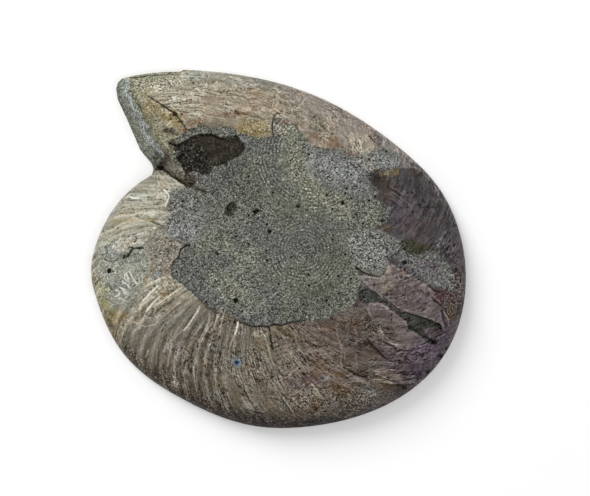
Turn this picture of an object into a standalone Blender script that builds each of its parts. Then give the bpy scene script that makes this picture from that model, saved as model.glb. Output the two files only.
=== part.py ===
"""Half of a fossil ammonite, sawn through its coil and lying on the sawn face.

The stone is one piece.  Its outline is the spiral rim of the last whorl, from the
mouth's tip round to the notch where the whorl meets the one before.  Its upper side
is a relief: the whorl's flank rises from the rim, sickle ribs and broken shell plates
lie on it, and the middle is a plateau of sandy matrix, ground nearly flat.
"""
import math

import bmesh
import bpy
import numpy as np
from mathutils import Vector, noise
from mathutils.geometry import delaunay_2d_cdt

MM = 0.001                      # every length below is in millimetres

# ---- driving dimensions -------------------------------------------------------------
NODE = "ammonite"
POLE = (-7.05, -7.6)            # the point that the spiral winds round
NOTCH_ANGLE = 135.0             # direction from the pole to the notch, degrees from +X
MOUTH_HEIGHT = 16.1             # the half whorl's thickness at the mouth
THICKENING = 1.27               # growth of that thickness in one turn
FLANK_SHARE = 0.28              # width of the sloping flank, as a share of the rim radius
EDGE_HEIGHT = 0.9               # upright edge that the saw left round the rim
SHELL = 0.7                     # thickness of the shell, bare matrix lies this much lower
RIBS_PER_TURN = 62
RIB_HEIGHT = 0.45
RIB_ROOT = 0.42                 # share of the rim radius where a rib starts
RIB_LEAN = 0.45                 # its forward lean along the flank, radians a share
RIB_HOOK = 0.62                 # share of the rim radius where it bends further forward
RIB_HOOK_LEAN = 0.9
PLANE_HEIGHT = 14.5             # ground plateau above the sawn face, at the origin
PLANE_SLOPE = (0.012, 0.025)    # its rise per millimetre along X and Y
HOLLOW_DEPTH = 1.2
CHANNEL_DEPTH = 1.1
LEDGE_DROP = 0.7
MOUTH_RIDGE_SHARE = 0.62        # where the mouth's broken face eases, as a share of its width
MOUTH_RIDGE_RISE = 0.78         # and its height there, as a share of the mouth's

# the rim: turn from the notch in degrees, radius about the pole
RIM = (
    (-90, 39.0), (-40, 42.3), (0, 45.4), (10, 47.9), (20, 50.0), (35, 52.3), (45, 53.1),
    (55, 52.0), (75, 50.2), (105, 47.1), (135, 49.5), (155, 52.6), (175, 58.2), (195, 64.6),
    (205, 66.6), (220, 67.4), (235, 66.6), (250, 64.5), (265, 61.1), (280, 59.4),
    (300, 60.1), (315, 62.4), (330, 67.0), (345, 74.0), (350, 76.4), (370, 86.0),
)
RIM_START = 3.0                 # turn at the notch, degrees
RIM_END = 350.0                 # turn at the mouth's tip
BARE_RIM_TURN = 335.0           # from here to the tip the rim has lost its shell

# ---- lines on the stone, (x, y) in millimetres --------------------------------------
MOUTH_EDGE = (
    (-50.5, 54.4), (-51.6, 53.2), (-52.1, 51.4), (-51.6, 47.9), (-48.7, 41.7), (-45.8, 35.1),
    (-44.4, 31.8), (-42.6, 29.6), (-40.6, 27.2), (-40.1, 25.4), (-40.6, 23.8),
)
MOUTH_CREST = (
    (-45.9, 53.4), (-45.9, 51.2), (-45.0, 49.0), (-43.1, 45.9), (-39.9, 40.2), (-37.4, 34.8),
    (-34.5, 31.0),
)
SEAM_FOOT = (
    (-39.5, 25.4), (-37.9, 25.4), (-35.7, 24.5), (-33.8, 22.9), (-29.0, 19.7), (-22.7, 17.5),
)
WALL_TOP = (
    (-34.5, 31.0), (-31.3, 26.6), (-29.8, 23.7), (-27.6, 21.2), (-21.9, 18.3),
)
PLATEAU = (
    (-28.8, 37.3), (-23.7, 39.3), (-18.4, 40.1), (-14.6, 39.8), (-11.7, 37.3), (-7.6, 35.4),
    (-2.3, 34.7), (-2.6, 38.5), (-1.6, 41.7), (1.2, 43.0), (5.9, 40.1), (8.5, 36.3),
    (10.0, 33.5), (13.8, 32.2), (21.7, 31.0), (24.9, 28.4), (28.7, 31.3), (33.7, 31.9),
    (38.5, 29.4), (37.2, 25.6), (32.2, 25.0), (28.0, 23.1), (31.5, 18.6), (31.5, 15.2),
    (35.9, 13.0), (34.7, 8.5), (30.3, 6.3), (39.1, 2.5), (39.7, -0.3), (34.0, -4.1),
    (34.4, -6.3), (32.2, -8.8), (28.0, -7.9), (24.9, -6.3), (26.2, -9.8), (25.2, -14.8),
    (23.3, -18.6), (18.9, -20.8), (14.8, -22.7), (6.6, -23.0), (-2.6, -24.6), (-7.6, -24.6),
    (-12.1, -22.7), (-15.9, -21.2), (-20.9, -19.9), (-25.3, -15.8), (-29.4, -11.7),
    (-34.2, -8.8), (-33.9, -5.4), (-31.3, -2.2), (-29.7, 0.6), (-34.8, 4.1), (-35.4, 7.3),
    (-33.9, 10.4), (-35.7, 13.6), (-35.1, 17.1), (-28.8, 19.6), (-22.5, 17.4), (-27.5, 21.2),
    (-29.7, 23.7), (-31.3, 26.5), (-34.5, 31.0), (-34.2, 33.5), (-31.6, 35.1),
)
HOLLOW = (
    (-33.9, 33.5), (-32.0, 32.6), (-30.1, 33.5), (-25.7, 35.7), (-21.6, 36.2), (-16.8, 34.5),
    (-13.0, 35.6), (-10.5, 31.9), (-12.4, 29.4), (-14.6, 27.8), (-20.6, 25.9), (-21.6, 23.4),
    (-26.6, 24.3), (-29.1, 23.4), (-30.4, 25.9), (-31.7, 28.8), (-30.4, 30.7),
)
CHANNEL = (
    (27.4, -10.7), (32.5, -15.2), (35.0, -17.2), (42.3, -20.7), (49.9, -23.1), (51.8, -25.6),
    (48.0, -27.2), (51.5, -29.1), (50.5, -31.0), (45.5, -27.8), (40.1, -22.8), (34.1, -18.3),
    (32.2, -17.1), (29.3, -16.8), (26.5, -17.4), (24.9, -15.5), (25.5, -12.6),
)
BARE_PATCH = (
    (37.3, 2.9), (42.4, 2.2), (48.1, 1.9), (53.1, 0.6), (56.3, -2.2), (57.0, -7.3),
    (57.6, -12.4), (54.4, -13.3), (50.3, -12.4), (47.1, -10.8), (44.3, -7.6), (38.3, -3.8),
    (35.4, -2.5),
)
BARE_RIM = (
    (-47.1, 54.8), (-40.3, 57.0), (-30.8, 58.5), (-31.1, 54.6), (-35.2, 53.6), (-39.1, 52.0),
    (-43.2, 50.4), (-46.4, 50.8),
)
CRACKS = (
    ((-40.8, 48.0), (-35.5, 44.6), (-32.9, 42.8), (-30.7, 40.5), (-28.8, 37.6)),
    ((-2.9, -25.2), (-2.6, -27.2), (-1.0, -35.4), (0.6, -42.1), (3.1, -48.1)),
    ((-40.7, 1.9), (-42.9, 0.3), (-45.8, 0.0), (-47.7, -2.5), (-50.8, -3.5), (-54.6, -3.5)),
    ((27.8, -28.2), (29.7, -30.4), (31.9, -32.6), (34.8, -35.2)),
    ((22.8, -38.8), (26.0, -40.4), (31.1, -40.7), (35.5, -42.3), (39.7, -43.9)),
)
CRACK_DEPTH = 0.6
CRACK_HALF_WIDTH = 0.7
# pits: x, y, radius, depth
PITS = (
    (-14.9, 12.6, 1.7, 1.0), (-7.0, 11.7, 0.9, 0.8), (-2.6, 5.4, 0.9, 0.8),
    (6.3, 13.3, 0.8, 0.6), (20.5, 14.2, 0.9, 0.8), (-13.3, -16.4, 1.0, 0.8),
    (-13.6, -23.0, 1.4, 1.2), (-27.2, 20.5, 1.3, 1.3), (-37.2, 26.2, 1.5, 2.0),
    (-53.3, -7.1, 1.1, 0.9), (40.0, -4.4, 1.0, 0.8), (52.0, -34.7, 1.3, 1.6),
    (48.1, -39.9, 1.3, 1.6),
)

# ---- mesh spacing -------------------------------------------------------------------
OUTLINE_STEP = 1.7
LINE_STEP = 1.9
FILL_STEP = 2.35
CLEARANCE = 0.95                # fill points keep this far from the lines
STEP_HALF_WIDTH = 0.3           # a ledge falls over twice this width
RIM_ROWS = (0.5, 1.5, 3.2, 5.6)  # rows that follow the rim, at these distances inside it
EDGE_CLEARANCE = 0.25           # line points nearer the outline than this are left out
MERGE = 0.04                    # points closer than this become one
INSIDE_ONLY = 1                 # the triangulation's mode: triangles inside the outline


def natural_cubic(knots, at):
    """Natural cubic spline through (position, value) knots, read at the positions given."""
    x, y = np.array(knots, float).T
    gap = np.diff(x)
    rows = np.eye(len(x))
    right = np.zeros(len(x))
    for i in range(1, len(x) - 1):
        rows[i, i - 1:i + 2] = gap[i - 1], 2 * (gap[i - 1] + gap[i]), gap[i]
        right[i] = 6 * ((y[i + 1] - y[i]) / gap[i] - (y[i] - y[i - 1]) / gap[i - 1])
    bend = np.linalg.solve(rows, right)
    i = np.clip(np.searchsorted(x, at) - 1, 0, len(gap) - 1)
    left = at - x[i]
    slope = (y[i + 1] - y[i]) / gap[i] - gap[i] * (2 * bend[i] + bend[i + 1]) / 6
    cubic = (bend[i + 1] - bend[i]) / (6 * gap[i])
    return y[i] + left * (slope + left * (bend[i] / 2 + left * cubic))


def smoothstep(low, high, value):
    t = np.clip((value - low) / (high - low), 0.0, 1.0)
    return t * t * (3 - 2 * t)


def resample(points, step, closed=False):
    """Points about one step apart along a polyline."""
    line = np.array(points + points[:1] if closed else points, float)
    length = np.concatenate([[0], np.cumsum(np.hypot(*np.diff(line, axis=0).T))])
    count = max(2, round(length[-1] / step) + 1)
    at = np.linspace(0, length[-1], count)
    found = np.stack([np.interp(at, length, line[:, k]) for k in (0, 1)], axis=1)
    return found[:-1] if closed else found


def inside(points, polygon):
    """True for each point inside the closed polygon."""
    x, y = points.T
    corners = np.array(polygon, float)
    found = np.zeros(len(points), bool)
    for (x0, y0), (x1, y1) in zip(corners, np.roll(corners, -1, axis=0)):
        if y0 == y1:
            continue
        crosses = (y0 > y) != (y1 > y)
        found ^= crosses & (x < x0 + (x1 - x0) * (y - y0) / (y1 - y0))
    return found


def distance(points, line, closed=False):
    """Distance from each point to the polyline."""
    corners = np.array(line, float)
    ends = np.roll(corners, -1, axis=0)
    if not closed:
        corners, ends = corners[:-1], ends[:-1]
    best = np.full(len(points), 1e9)
    for start, end in zip(corners, ends):
        run = end - start
        share = np.clip((points - start) @ run / max(run @ run, 1e-12), 0, 1)
        offset = points - start - share[:, None] * run
        best = np.minimum(best, np.hypot(offset[:, 0], offset[:, 1]))
    return best


def rim_radius(turn):
    return natural_cubic(RIM, turn)


def rim_point(turn, inset=0.0):
    """Point of the outline at a turn in degrees, moved towards the pole by the inset."""
    bare = SHELL * smoothstep(BARE_RIM_TURN, BARE_RIM_TURN + 0.6, turn)
    radius = rim_radius(turn) - bare - inset
    angle = np.radians(turn + NOTCH_ANGLE)
    return np.stack([POLE[0] + radius * np.cos(angle), POLE[1] + radius * np.sin(angle)], axis=-1)


def whorl_coordinates(points):
    """Turn in degrees, and distance inside the rim, of each point.

    Below the seam a point belongs to the start of the last turn, above it to its end.
    """
    offset = points - np.array(POLE)
    angle = np.degrees(np.arctan2(offset[:, 1], offset[:, 0])) - NOTCH_ANGLE
    older = inside(points, SEAM_FOOT + (POLE, (-70.0, -20.0), (-70.0, SEAM_FOOT[0][1])))
    turn = np.where(older, (angle + 180) % 360 - 180, (angle - 30) % 360 + 30)
    return turn, rim_radius(turn) - np.hypot(offset[:, 0], offset[:, 1])


def flank_height(turn, depth):
    """Height of the whorl's flank: steep at the rim, level at the whorl's widest."""
    top = MOUTH_HEIGHT * THICKENING ** ((turn - 360) / 360)
    share = np.clip(depth / (FLANK_SHARE * rim_radius(turn)), 0, 1)
    return top * (1 - (1 - share) ** 2.3) ** 0.62


def rib_lean(share):
    """Turn in radians by which a sickle rib runs ahead of its root."""
    return RIB_LEAN * (share - RIB_ROOT) + RIB_HOOK_LEAN * np.maximum(share - RIB_HOOK, 0) ** 2


def ribs(turn, depth):
    share = 1 - depth / rim_radius(turn)
    phase = (np.radians(turn) - rib_lean(share)) * RIBS_PER_TURN
    first = 0.5 * smoothstep(2, 8, turn) * (1 - smoothstep(24, 34, turn))
    along = first + smoothstep(50, 64, turn) * (1 - smoothstep(108, 132, turn))
    across = smoothstep(RIB_ROOT, RIB_ROOT + 0.1, share) * (1 - smoothstep(0.93, 0.99, share))
    return RIB_HEIGHT * along * across * np.cos(phase)


def lumps(points, size, seed):
    """Smooth natural unevenness between -1 and 1."""
    return np.array([noise.noise(Vector((x / size, y / size, seed))) for x, y in points])


def edge_step(points, polygon):
    """0 outside the polygon, 1 inside it, changing over a ledge's width."""
    signed = distance(points, polygon, closed=True) * np.where(inside(points, polygon), 1, -1)
    return smoothstep(-STEP_HALF_WIDTH, STEP_HALF_WIDTH, signed)


def strip(points, foot, top):
    """Membership of a sloping strip between two lines, and the share of the way up it."""
    member = inside(points, foot + top[::-1])
    low = distance(points, foot)
    return member, low / (low + distance(points, top) + 1e-9)


def surface_height(points):
    """Height of the stone's upper side at each point."""
    x, y = points.T
    turn, depth = whorl_coordinates(points)
    flank = flank_height(turn, np.maximum(depth, 0))
    plane = PLANE_HEIGHT + PLANE_SLOPE[0] * x + PLANE_SLOPE[1] * y
    plane -= 1.2 * smoothstep(-22, -33, x) * smoothstep(30, 12, y)

    shell = flank + ribs(turn, depth) + 0.3 * lumps(points, 14, 3.1) + 0.15 * lumps(points, 5, 7.7)
    shell = np.minimum(shell, plane + SHELL)
    ledge = smoothstep(60, 75, turn) * (1 - smoothstep(185, 205, turn))
    shell -= LEDGE_DROP * ledge * np.exp(-distance(points, PLATEAU, closed=True) / 3.0)
    shell -= SHELL * np.maximum(edge_step(points, BARE_PATCH), edge_step(points, BARE_RIM))
    shell -= CHANNEL_DEPTH * edge_step(points, CHANNEL)
    for crack in CRACKS:
        shell -= CRACK_DEPTH * (1 - smoothstep(0, CRACK_HALF_WIDTH, distance(points, crack)))

    matrix = np.minimum(plane, flank - 0.3 + 2.3 * smoothstep(6, 12, depth))
    matrix += 0.08 * lumps(points, 4, 1.3)
    matrix -= HOLLOW_DEPTH * edge_step(points, HOLLOW)
    ground = edge_step(points, PLATEAU)
    height = shell * (1 - ground) + matrix * ground

    on_mouth, share = strip(points, MOUTH_EDGE, MOUTH_CREST)
    face = MOUTH_HEIGHT * np.interp(share, (0, MOUTH_RIDGE_SHARE, 1), (0, MOUTH_RIDGE_RISE, 0.95))
    height = np.where(on_mouth, np.minimum(height, face), height)
    on_wall, share = strip(points, SEAM_FOOT, WALL_TOP)
    older_depth = rim_radius(0.0) - np.hypot(x - POLE[0], y - POLE[1])
    foot = np.minimum(flank_height(np.zeros(len(x)), np.maximum(older_depth, 0)), plane)
    height = np.where(on_wall, foot + (plane - foot) * smoothstep(0, 1, share), height)

    for pit_x, pit_y, radius, depth_of_pit in PITS:
        near = np.hypot(x - pit_x, y - pit_y) / radius
        height -= depth_of_pit * (1 - smoothstep(0, 1, near))
    return np.maximum(height, EDGE_HEIGHT)


def outline():
    """The sawn face's edge, anticlockwise from the notch."""
    turns = np.linspace(RIM_START, RIM_END, 400)
    rim = [tuple(p) for p in rim_point(turns)]
    return resample(tuple(rim) + MOUTH_EDGE[1:], OUTLINE_STEP, closed=True)


def beside(line, gap, closed=False):
    """The line moved by the gap to its left and to its right."""
    run = np.roll(line, -1, axis=0) - np.roll(line, 1, axis=0)
    if not closed:
        run[0] = line[1] - line[0]
        run[-1] = line[-1] - line[-2]
    normal = np.stack([-run[:, 1], run[:, 0]], axis=1)
    normal /= np.hypot(run[:, 0], run[:, 1])[:, None] + 1e-9
    return line + gap * normal, line - gap * normal


def rib_lines():
    """Crests and valleys of the ribs, from their roots to near the rim."""
    shares = np.linspace(RIB_ROOT + 0.04, 0.96, 12)
    spacing = 180.0 / RIBS_PER_TURN
    lines = []
    for first, last in ((3, 28), (54, 122)):
        for k in range(math.ceil(first / spacing), math.ceil(last / spacing)):
            turn = k * spacing + np.degrees(rib_lean(shares))
            lines.append(rim_point(turn, rim_radius(turn) * (1 - shares)))
    return lines


def mouth_ridge():
    """Line along the mouth's broken face where its slope eases."""
    rows = 9
    edge, crest = (np.array(resample(line, 0.1)) for line in (MOUTH_EDGE, MOUTH_CREST))
    edge, crest = (line[np.linspace(0, len(line) - 1, rows).astype(int)] for line in (edge, crest))
    return edge + MOUTH_RIDGE_SHARE * (crest - edge)


def feature_lines():
    """Lines that the surface's edges follow, as (points, closed)."""
    lines = []
    for inset in RIM_ROWS:
        turns = np.linspace(RIM_START + 2, RIM_END - 2, 190)
        lines.append((rim_point(turns, inset), False))
    for polygon in (PLATEAU, HOLLOW, CHANNEL, BARE_PATCH):
        for side in beside(resample(polygon, LINE_STEP, closed=True), STEP_HALF_WIDTH, True):
            lines.append((side, True))
    for line in (MOUTH_CREST, SEAM_FOOT, WALL_TOP) + CRACKS:
        lines.append((resample(line, LINE_STEP), False))
    for crack in CRACKS:
        for side in beside(resample(crack, LINE_STEP), CRACK_HALF_WIDTH):
            lines.append((side, False))
    for line in rib_lines() + [mouth_ridge()]:
        lines.append((line, False))
    ring = np.linspace(0, 2 * math.pi, 6, endpoint=False)
    for x, y, radius, _ in PITS:
        circle = np.stack([x + radius * np.cos(ring), y + radius * np.sin(ring)], axis=1)
        lines.append((circle, True))
        lines.append((np.array([[x, y]]), False))
    return lines


def fill_points(border, taken):
    """Hexagonal grid over the inside of the border, clear of the points already taken."""
    low, high = border.min(axis=0), border.max(axis=0)
    points = []
    for row, y in enumerate(np.arange(low[1], high[1], FILL_STEP * math.sqrt(3) / 2)):
        start = low[0] + (row % 2) * FILL_STEP / 2
        points += [(x, y) for x in np.arange(start, high[0], FILL_STEP)]
    points = np.array(points)
    points = points[inside(points, border)]
    return [p for p in points if np.hypot(*(taken - p).T).min() > CLEARANCE]


def relief_sheet():
    """Triangulated upper side: its 2D points and its triangles."""
    border = outline()
    points = list(border)
    links = [(i, (i + 1) % len(border)) for i in range(len(border))]
    for line, closed in feature_lines():
        keep = inside(line, border) & (distance(line, border, closed=True) > EDGE_CLEARANCE)
        index = np.cumsum(keep) - 1 + len(points)
        for i in range(len(line) if closed else len(line) - 1):
            j = (i + 1) % len(line)
            if keep[i] and keep[j]:
                links.append((int(index[i]), int(index[j])))
        points += list(line[keep])
    points += fill_points(border, np.array(points))
    sheet = delaunay_2d_cdt([Vector(p) for p in points], links, [], INSIDE_ONLY, MERGE)
    return np.array([tuple(p) for p in sheet[0]]), sheet[2]


def build_stone():
    points, triangles = relief_sheet()
    heights = surface_height(points)
    mesh = bmesh.new()
    corners = [mesh.verts.new((x * MM, y * MM, z * MM)) for (x, y), z in zip(points, heights)]
    for triangle in triangles:
        mesh.faces.new([corners[i] for i in triangle])
    loose = [v for v in mesh.verts if not v.link_faces]
    bmesh.ops.delete(mesh, geom=loose, context="VERTS")
    rim = [edge for edge in mesh.edges if edge.is_boundary]
    for vertex in {v for edge in rim for v in edge.verts}:
        vertex.co.z = EDGE_HEIGHT * MM
    lowered = bmesh.ops.extrude_edge_only(mesh, edges=rim)["geom"]
    for vertex in (item for item in lowered if isinstance(item, bmesh.types.BMVert)):
        vertex.co.z = 0.0
    sawn_edge = [item for item in lowered if isinstance(item, bmesh.types.BMEdge)]
    sawn_edge = [edge for edge in sawn_edge if edge.is_boundary]
    bmesh.ops.edgeloop_fill(mesh, edges=sawn_edge)
    bmesh.ops.recalc_face_normals(mesh, faces=mesh.faces)
    return mesh


def centre_on_origin(mesh):
    """Puts the middle of the outline's box on the origin, the sawn face at height 0."""
    places = np.array([vertex.co[:2] for vertex in mesh.verts])
    middle = (places.min(axis=0) + places.max(axis=0)) / 2
    bmesh.ops.translate(mesh, verts=mesh.verts, vec=(-middle[0], -middle[1], 0.0))


def stone_material():
    material = bpy.data.materials.new("fossil_stone")
    material.use_nodes = True
    shader = material.node_tree.nodes["Principled BSDF"]
    shader.inputs["Base Color"].default_value = (0.17, 0.15, 0.12, 1.0)
    shader.inputs["Roughness"].default_value = 0.75
    shader.inputs["Metallic"].default_value = 0.0
    return material


def main():
    for item in list(bpy.data.objects):
        bpy.data.objects.remove(item, do_unlink=True)
    collection = bpy.data.collections.new("ammonite_fossil")
    bpy.context.scene.collection.children.link(collection)
    mesh = build_stone()
    centre_on_origin(mesh)
    data = bpy.data.meshes.new(NODE)
    mesh.to_mesh(data)
    mesh.free()
    data.shade_smooth()
    data.set_sharp_from_angle(angle=math.radians(40))
    data.materials.append(stone_material())
    collection.objects.link(bpy.data.objects.new(NODE, data))


main()
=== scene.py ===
"""Looks of the half ammonite: the stone's fine relief, its colours, and the studio.

One dense mesh stands for the CAD solid.  Its upper side repeats the solid's relief, with
ragged ledges, grains, growth lines, cracks and pits added.  What each place on the stone
is made of is worked out here as numbers on the mesh's points, and the material's nodes
turn those numbers into colour, roughness and bump.
"""
import math

import bpy
import numpy as np
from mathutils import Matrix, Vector, noise
from mathutils.geometry import delaunay_2d_cdt

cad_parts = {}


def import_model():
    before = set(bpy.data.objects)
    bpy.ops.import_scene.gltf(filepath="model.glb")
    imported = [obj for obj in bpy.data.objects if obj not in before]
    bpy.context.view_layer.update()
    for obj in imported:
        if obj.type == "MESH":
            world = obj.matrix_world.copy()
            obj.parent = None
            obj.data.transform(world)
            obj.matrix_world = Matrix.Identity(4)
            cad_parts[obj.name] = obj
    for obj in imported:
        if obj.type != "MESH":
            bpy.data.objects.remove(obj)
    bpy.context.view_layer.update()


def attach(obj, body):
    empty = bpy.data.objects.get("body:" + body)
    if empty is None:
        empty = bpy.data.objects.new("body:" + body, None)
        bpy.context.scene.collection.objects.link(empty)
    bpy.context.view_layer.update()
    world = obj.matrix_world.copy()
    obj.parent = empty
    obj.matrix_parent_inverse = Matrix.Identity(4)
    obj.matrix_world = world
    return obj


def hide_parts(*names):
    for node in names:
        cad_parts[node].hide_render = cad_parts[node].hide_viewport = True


MM = 0.001                      # lengths below are in millimetres

# ---- the solid's dimensions ---------------------------------------------------------
POLE = (-7.05, -7.6)            # the point that the spiral winds round
NOTCH_ANGLE = 135.0             # direction from the pole to the notch, degrees from +X
MOUTH_HEIGHT = 16.1             # the half whorl's thickness at the mouth
THICKENING = 1.27               # growth of that thickness in one turn
FLANK_SHARE = 0.28              # width of the sloping flank, as a share of the rim radius
FLANK_POWERS = (2.3, 0.62)      # how round the flank's slope is
EDGE_HEIGHT = 0.9               # upright edge round the sawn face
SHELL = 0.7                     # thickness of the shell
RIBS_PER_TURN = 62
RIB_HEIGHT = 0.45
RIB_ROOT = 0.42                 # share of the rim radius where a rib starts
RIB_LEAN = 0.45                 # its forward lean along the flank, radians a share
RIB_HOOK = 0.62                 # share of the rim radius where it bends further forward
RIB_HOOK_LEAN = 0.9
PLANE_HEIGHT = 14.5             # ground plateau above the sawn face, at the origin
PLANE_SLOPE = (0.012, 0.025)    # its rise per millimetre along X and Y
PLANE_FALL = 1.2                # how much lower its left end is
HOLLOW_DEPTH = 1.2
CHANNEL_DEPTH = 1.1
LEDGE_DROP = 0.7
MOUTH_RIDGE_SHARE = 0.62        # where the mouth's broken face eases, as a share of its width
MOUTH_RIDGE_RISE = 0.78         # and its height there, as a share of the mouth's
CRACK_DEPTH = 0.6
CRACK_HALF_WIDTH = 0.6

# the rim: turn from the notch in degrees, radius about the pole
RIM = (
    (-90, 39), (-40, 42.3), (0, 45.4), (10, 47.9), (20, 50), (35, 52.3), (45, 53.1), (55, 52),
    (75, 50.2), (105, 47.1), (135, 49.5), (155, 52.6), (175, 58.2), (195, 64.6), (205, 66.6),
    (220, 67.4), (235, 66.6), (250, 64.5), (265, 61.1), (280, 59.4), (300, 60.1), (315, 62.4),
    (330, 67), (345, 74), (350, 76.4), (370, 86),
)
RIM_START = 3.0                 # turn at the notch, degrees
RIM_END = 350.0                 # turn at the mouth's tip
BARE_RIM_TURN = 335.0           # from here to the tip the rim has lost its shell
SOLID_OUTLINE_STEP = 1.7        # spacing of the solid's outline points

# ---- fine relief --------------------------------------------------------------------
# turns in degrees where ribs or a ledge start, are whole, start to fade, and are gone
NOTCH_RIBS = (2, 8, 24, 34)
FLANK_RIBS = (50, 64, 108, 132)
LEDGE_TURNS = (60, 75, 185, 205)
NOTCH_RIB_SHARE = 0.5           # how high the ribs by the notch are beside the others
GROWTH_SCALE = 50               # turns the growth angle in radians into about millimetres
SHELL_GRAIN = 0.025             # depth of the grain on smooth shell
COARSE_GRAIN = 0.11             # and what each kind of rough place adds to it
HOLLOW_GRAIN = 0.10
GRIT_SHARE = 0.6                # depth of the grit's grain, as a share of the coarse places'
DARK_LINE_DEPTH = 0.28
PALE_LINE_RISE = 0.06
FILL_STEP = 0.38                # spacing of the upper side's points, for under 200,000 triangles
RIM_ROWS = (0.05, 0.13, 0.25, 0.42, 0.64, 0.92, 1.25)   # rows close to the rim
SIDE_HEIGHTS = (0.62, 0.30, 0.10, 0.0)                  # rows down the upright edge
SIDE_TUCK = (0.0, 0.0, 0.02, 0.12)                      # how far each lies inside the rim
BASE_STEP = 1.5                 # spacing of the sawn face's points
MERGE = 0.01                    # points closer than this become one
INSIDE_ONLY = 1                 # the triangulation's mode: triangles inside the outline
ZONE_REACH = 4.0                # how far from its edge a zone is measured
LINE_LEAST = 0.08               # half the width of the thinnest line
LINE_REACH = 0.8                # how far from its edge a drawn line is measured

# ---- light --------------------------------------------------------------------------
STUDIO_LIGHT = 1.27             # how bright a white surface facing up looks in the studio
GLOSS = 0.004                   # light that even a black patch of the stone gives back
DARKEST = 0.004                 # the darkest surface colour, linear
WORLD_LIGHT = 0.62
# lamps: name, place in metres, size in metres, watts
LAMPS = (
    ("key", (-0.45, 0.50, 0.55), 0.45, 5.5),
    ("fill", (0.50, -0.30, 0.80), 0.60, 2.0),
)
FLOOR_SIZE = 3.0                # metres
FLOOR_GAP = 0.00002             # the floor lies this far under the sawn face, metres
FLOOR_SHADES = ((0.0, 0.87), (1.0, 0.89))
CAMERA_LENS = 150.0
SENSOR_WIDTH = 36.0
CLIP_END = 10.0                 # metres
CAMERA_PLACE = (0.00531, 0.00032, 0.7909)   # metres, straight above the stone

# ---- colour: out of 255, as it looks in the studio light ----------------------------
MATRIX_GREY, MATRIX_OLIVE, SANDY_ARC = (103, 104, 98), (109, 110, 98), (130, 131, 111)
MOULD_GREY, MOULD_BROWN = (80, 76, 77), (82, 73, 69)
PALE_BAND, DULL_BAND = (186, 181, 162), (134, 133, 119)
LEDGE_RUST, WALL_MUD, CHANNEL_DARK = (116, 104, 80), (119, 115, 99), (66, 68, 61)
HOLLOW_DARK, HOLLOW_BROWN = (51, 48, 42), (70, 66, 57)
# the last is the black of cracks and pits, and also of painted shadow along ledges and below raised lines
CHALK, WHITE_CHALK, CRACK_AND_SHADOW_BLACK = (204, 195, 176), (238, 234, 220), (26, 24, 19)
INK_HALO, INK_BLUE = (118, 138, 156), (34, 52, 84)
CHAMBER_WHITE, SAWN_SHELL = (196, 184, 160), (206, 196, 174)
WARMER, COOLER = (1.10, 1.0, 0.90, 1.0), (0.86, 0.92, 0.95, 1.0)    # multipliers
# along the turn: (share of a full turn, colour)
SHELL_FLANK = (
    (0, (162, 159, 141)), (0.05, (172, 168, 148)), (0.1, (160, 157, 140)), (0.165, (152, 146, 128)),
    (0.21, (126, 119, 105)), (0.27, (112, 104, 91)), (0.33, (118, 111, 97)), (0.4, (112, 103, 88)),
    (0.47, (104, 92, 80)), (0.54, (92, 80, 76)), (0.62, (80, 73, 74)), (0.71, (86, 81, 81)),
    (0.745, (152, 142, 134)), (0.8, (141, 131, 115)), (0.92, (152, 141, 121)), (0.97, (158, 156, 134)),
)
# near the rim: the shell's own colour, with painted shade making the lower rim darker
SHELL_RIM = (
    (0, (146, 142, 126)), (0.08, (152, 149, 132)), (0.165, (140, 130, 98)), (0.21, (98, 87, 70)),
    (0.3, (82, 71, 58)), (0.39, (58, 51, 46)), (0.46, (72, 64, 60)), (0.54, (88, 77, 84)),
    (0.7, (92, 86, 88)), (0.735, (148, 138, 131)), (0.85, (146, 138, 125)), (0.95, (149, 151, 133)),
)
# across the mouth's broken face, from its outer edge to its crest
MOUTH_FACE = (
    (0, (112, 115, 100)), (0.3, (125, 129, 114)), (0.48, (132, 137, 127)), (0.6, (146, 152, 152)),
    (0.72, (130, 133, 117)), (0.86, (110, 108, 85)), (1, (130, 124, 100)),
)
# calcite in the chambers and mud in the last whorl: (place along a noise, colour)
SAWN_FILL = (
    (0.3, (70, 50, 34)), (0.45, (112, 84, 56)), (0.56, (150, 124, 90)), (0.68, (104, 98, 88)),
)
SAWN_MUD = (
    (0.3, (96, 94, 84)), (0.7, (116, 112, 98)),
)
# zones of one colour: name, how much of it shows, colour
ZONE_COLOURS = (
    ("suture", 0.8, (149, 151, 139)), ("scale", 1.0, (180, 182, 168)), ("crest", 0.6, (128, 121, 92)),
    ("bare", 0.9, (104, 103, 102)), ("grit", 0.55, (108, 99, 87)), ("coarse", 0.7, (124, 124, 120)),
    ("plate", 0.85, (108, 97, 94)), ("lens", 0.85, (134, 116, 107)), ("olive", 0.75, (140, 138, 113)),
)
SHARP_ZONES = ("ground", "hollow", "channel", "bare", "olive", "plate", "mould", "scale", "ledge", "lens")
SOFT_ZONES = ("coarse", "grit", "suture", "crest")
# zones with open, contrasting grains, and how much of them shows
OPEN_ZONES = (
    ("coarse", 0.85), ("grit", 0.6), ("bare", 0.75), ("crest", 0.7), ("olive", 0.55), ("suture", 0.6),
)
# patches of colour laid over the stone: attribute, colour, most of it that shows
TINTS = (
    ("blue", (136, 139, 138), 0.75), ("violet", (98, 82, 97), 0.80), ("lime", (160, 158, 106), 0.75),
    # the cream tint is partly painted light over shaded relief
    ("cream_and_painted_light", (172, 161, 142), 0.80), ("ochre", (150, 131, 88), 0.75), ("rust", (126, 98, 78), 0.75),
    ("wine", (86, 60, 60), 0.80), ("amber", (92, 72, 44), 0.80), ("umber", (70, 59, 50), 0.85),
    ("moss", (66, 66, 46), 0.90),
)
MASKS = tuple(name for name, _, _ in TINTS) + (
    "pale", "pale_amount", "dark", "dark_amount", "pitted", "bold", "sandy", "shade", "mouth",
    "mouth_share", "wall", "ink",
)
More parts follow.
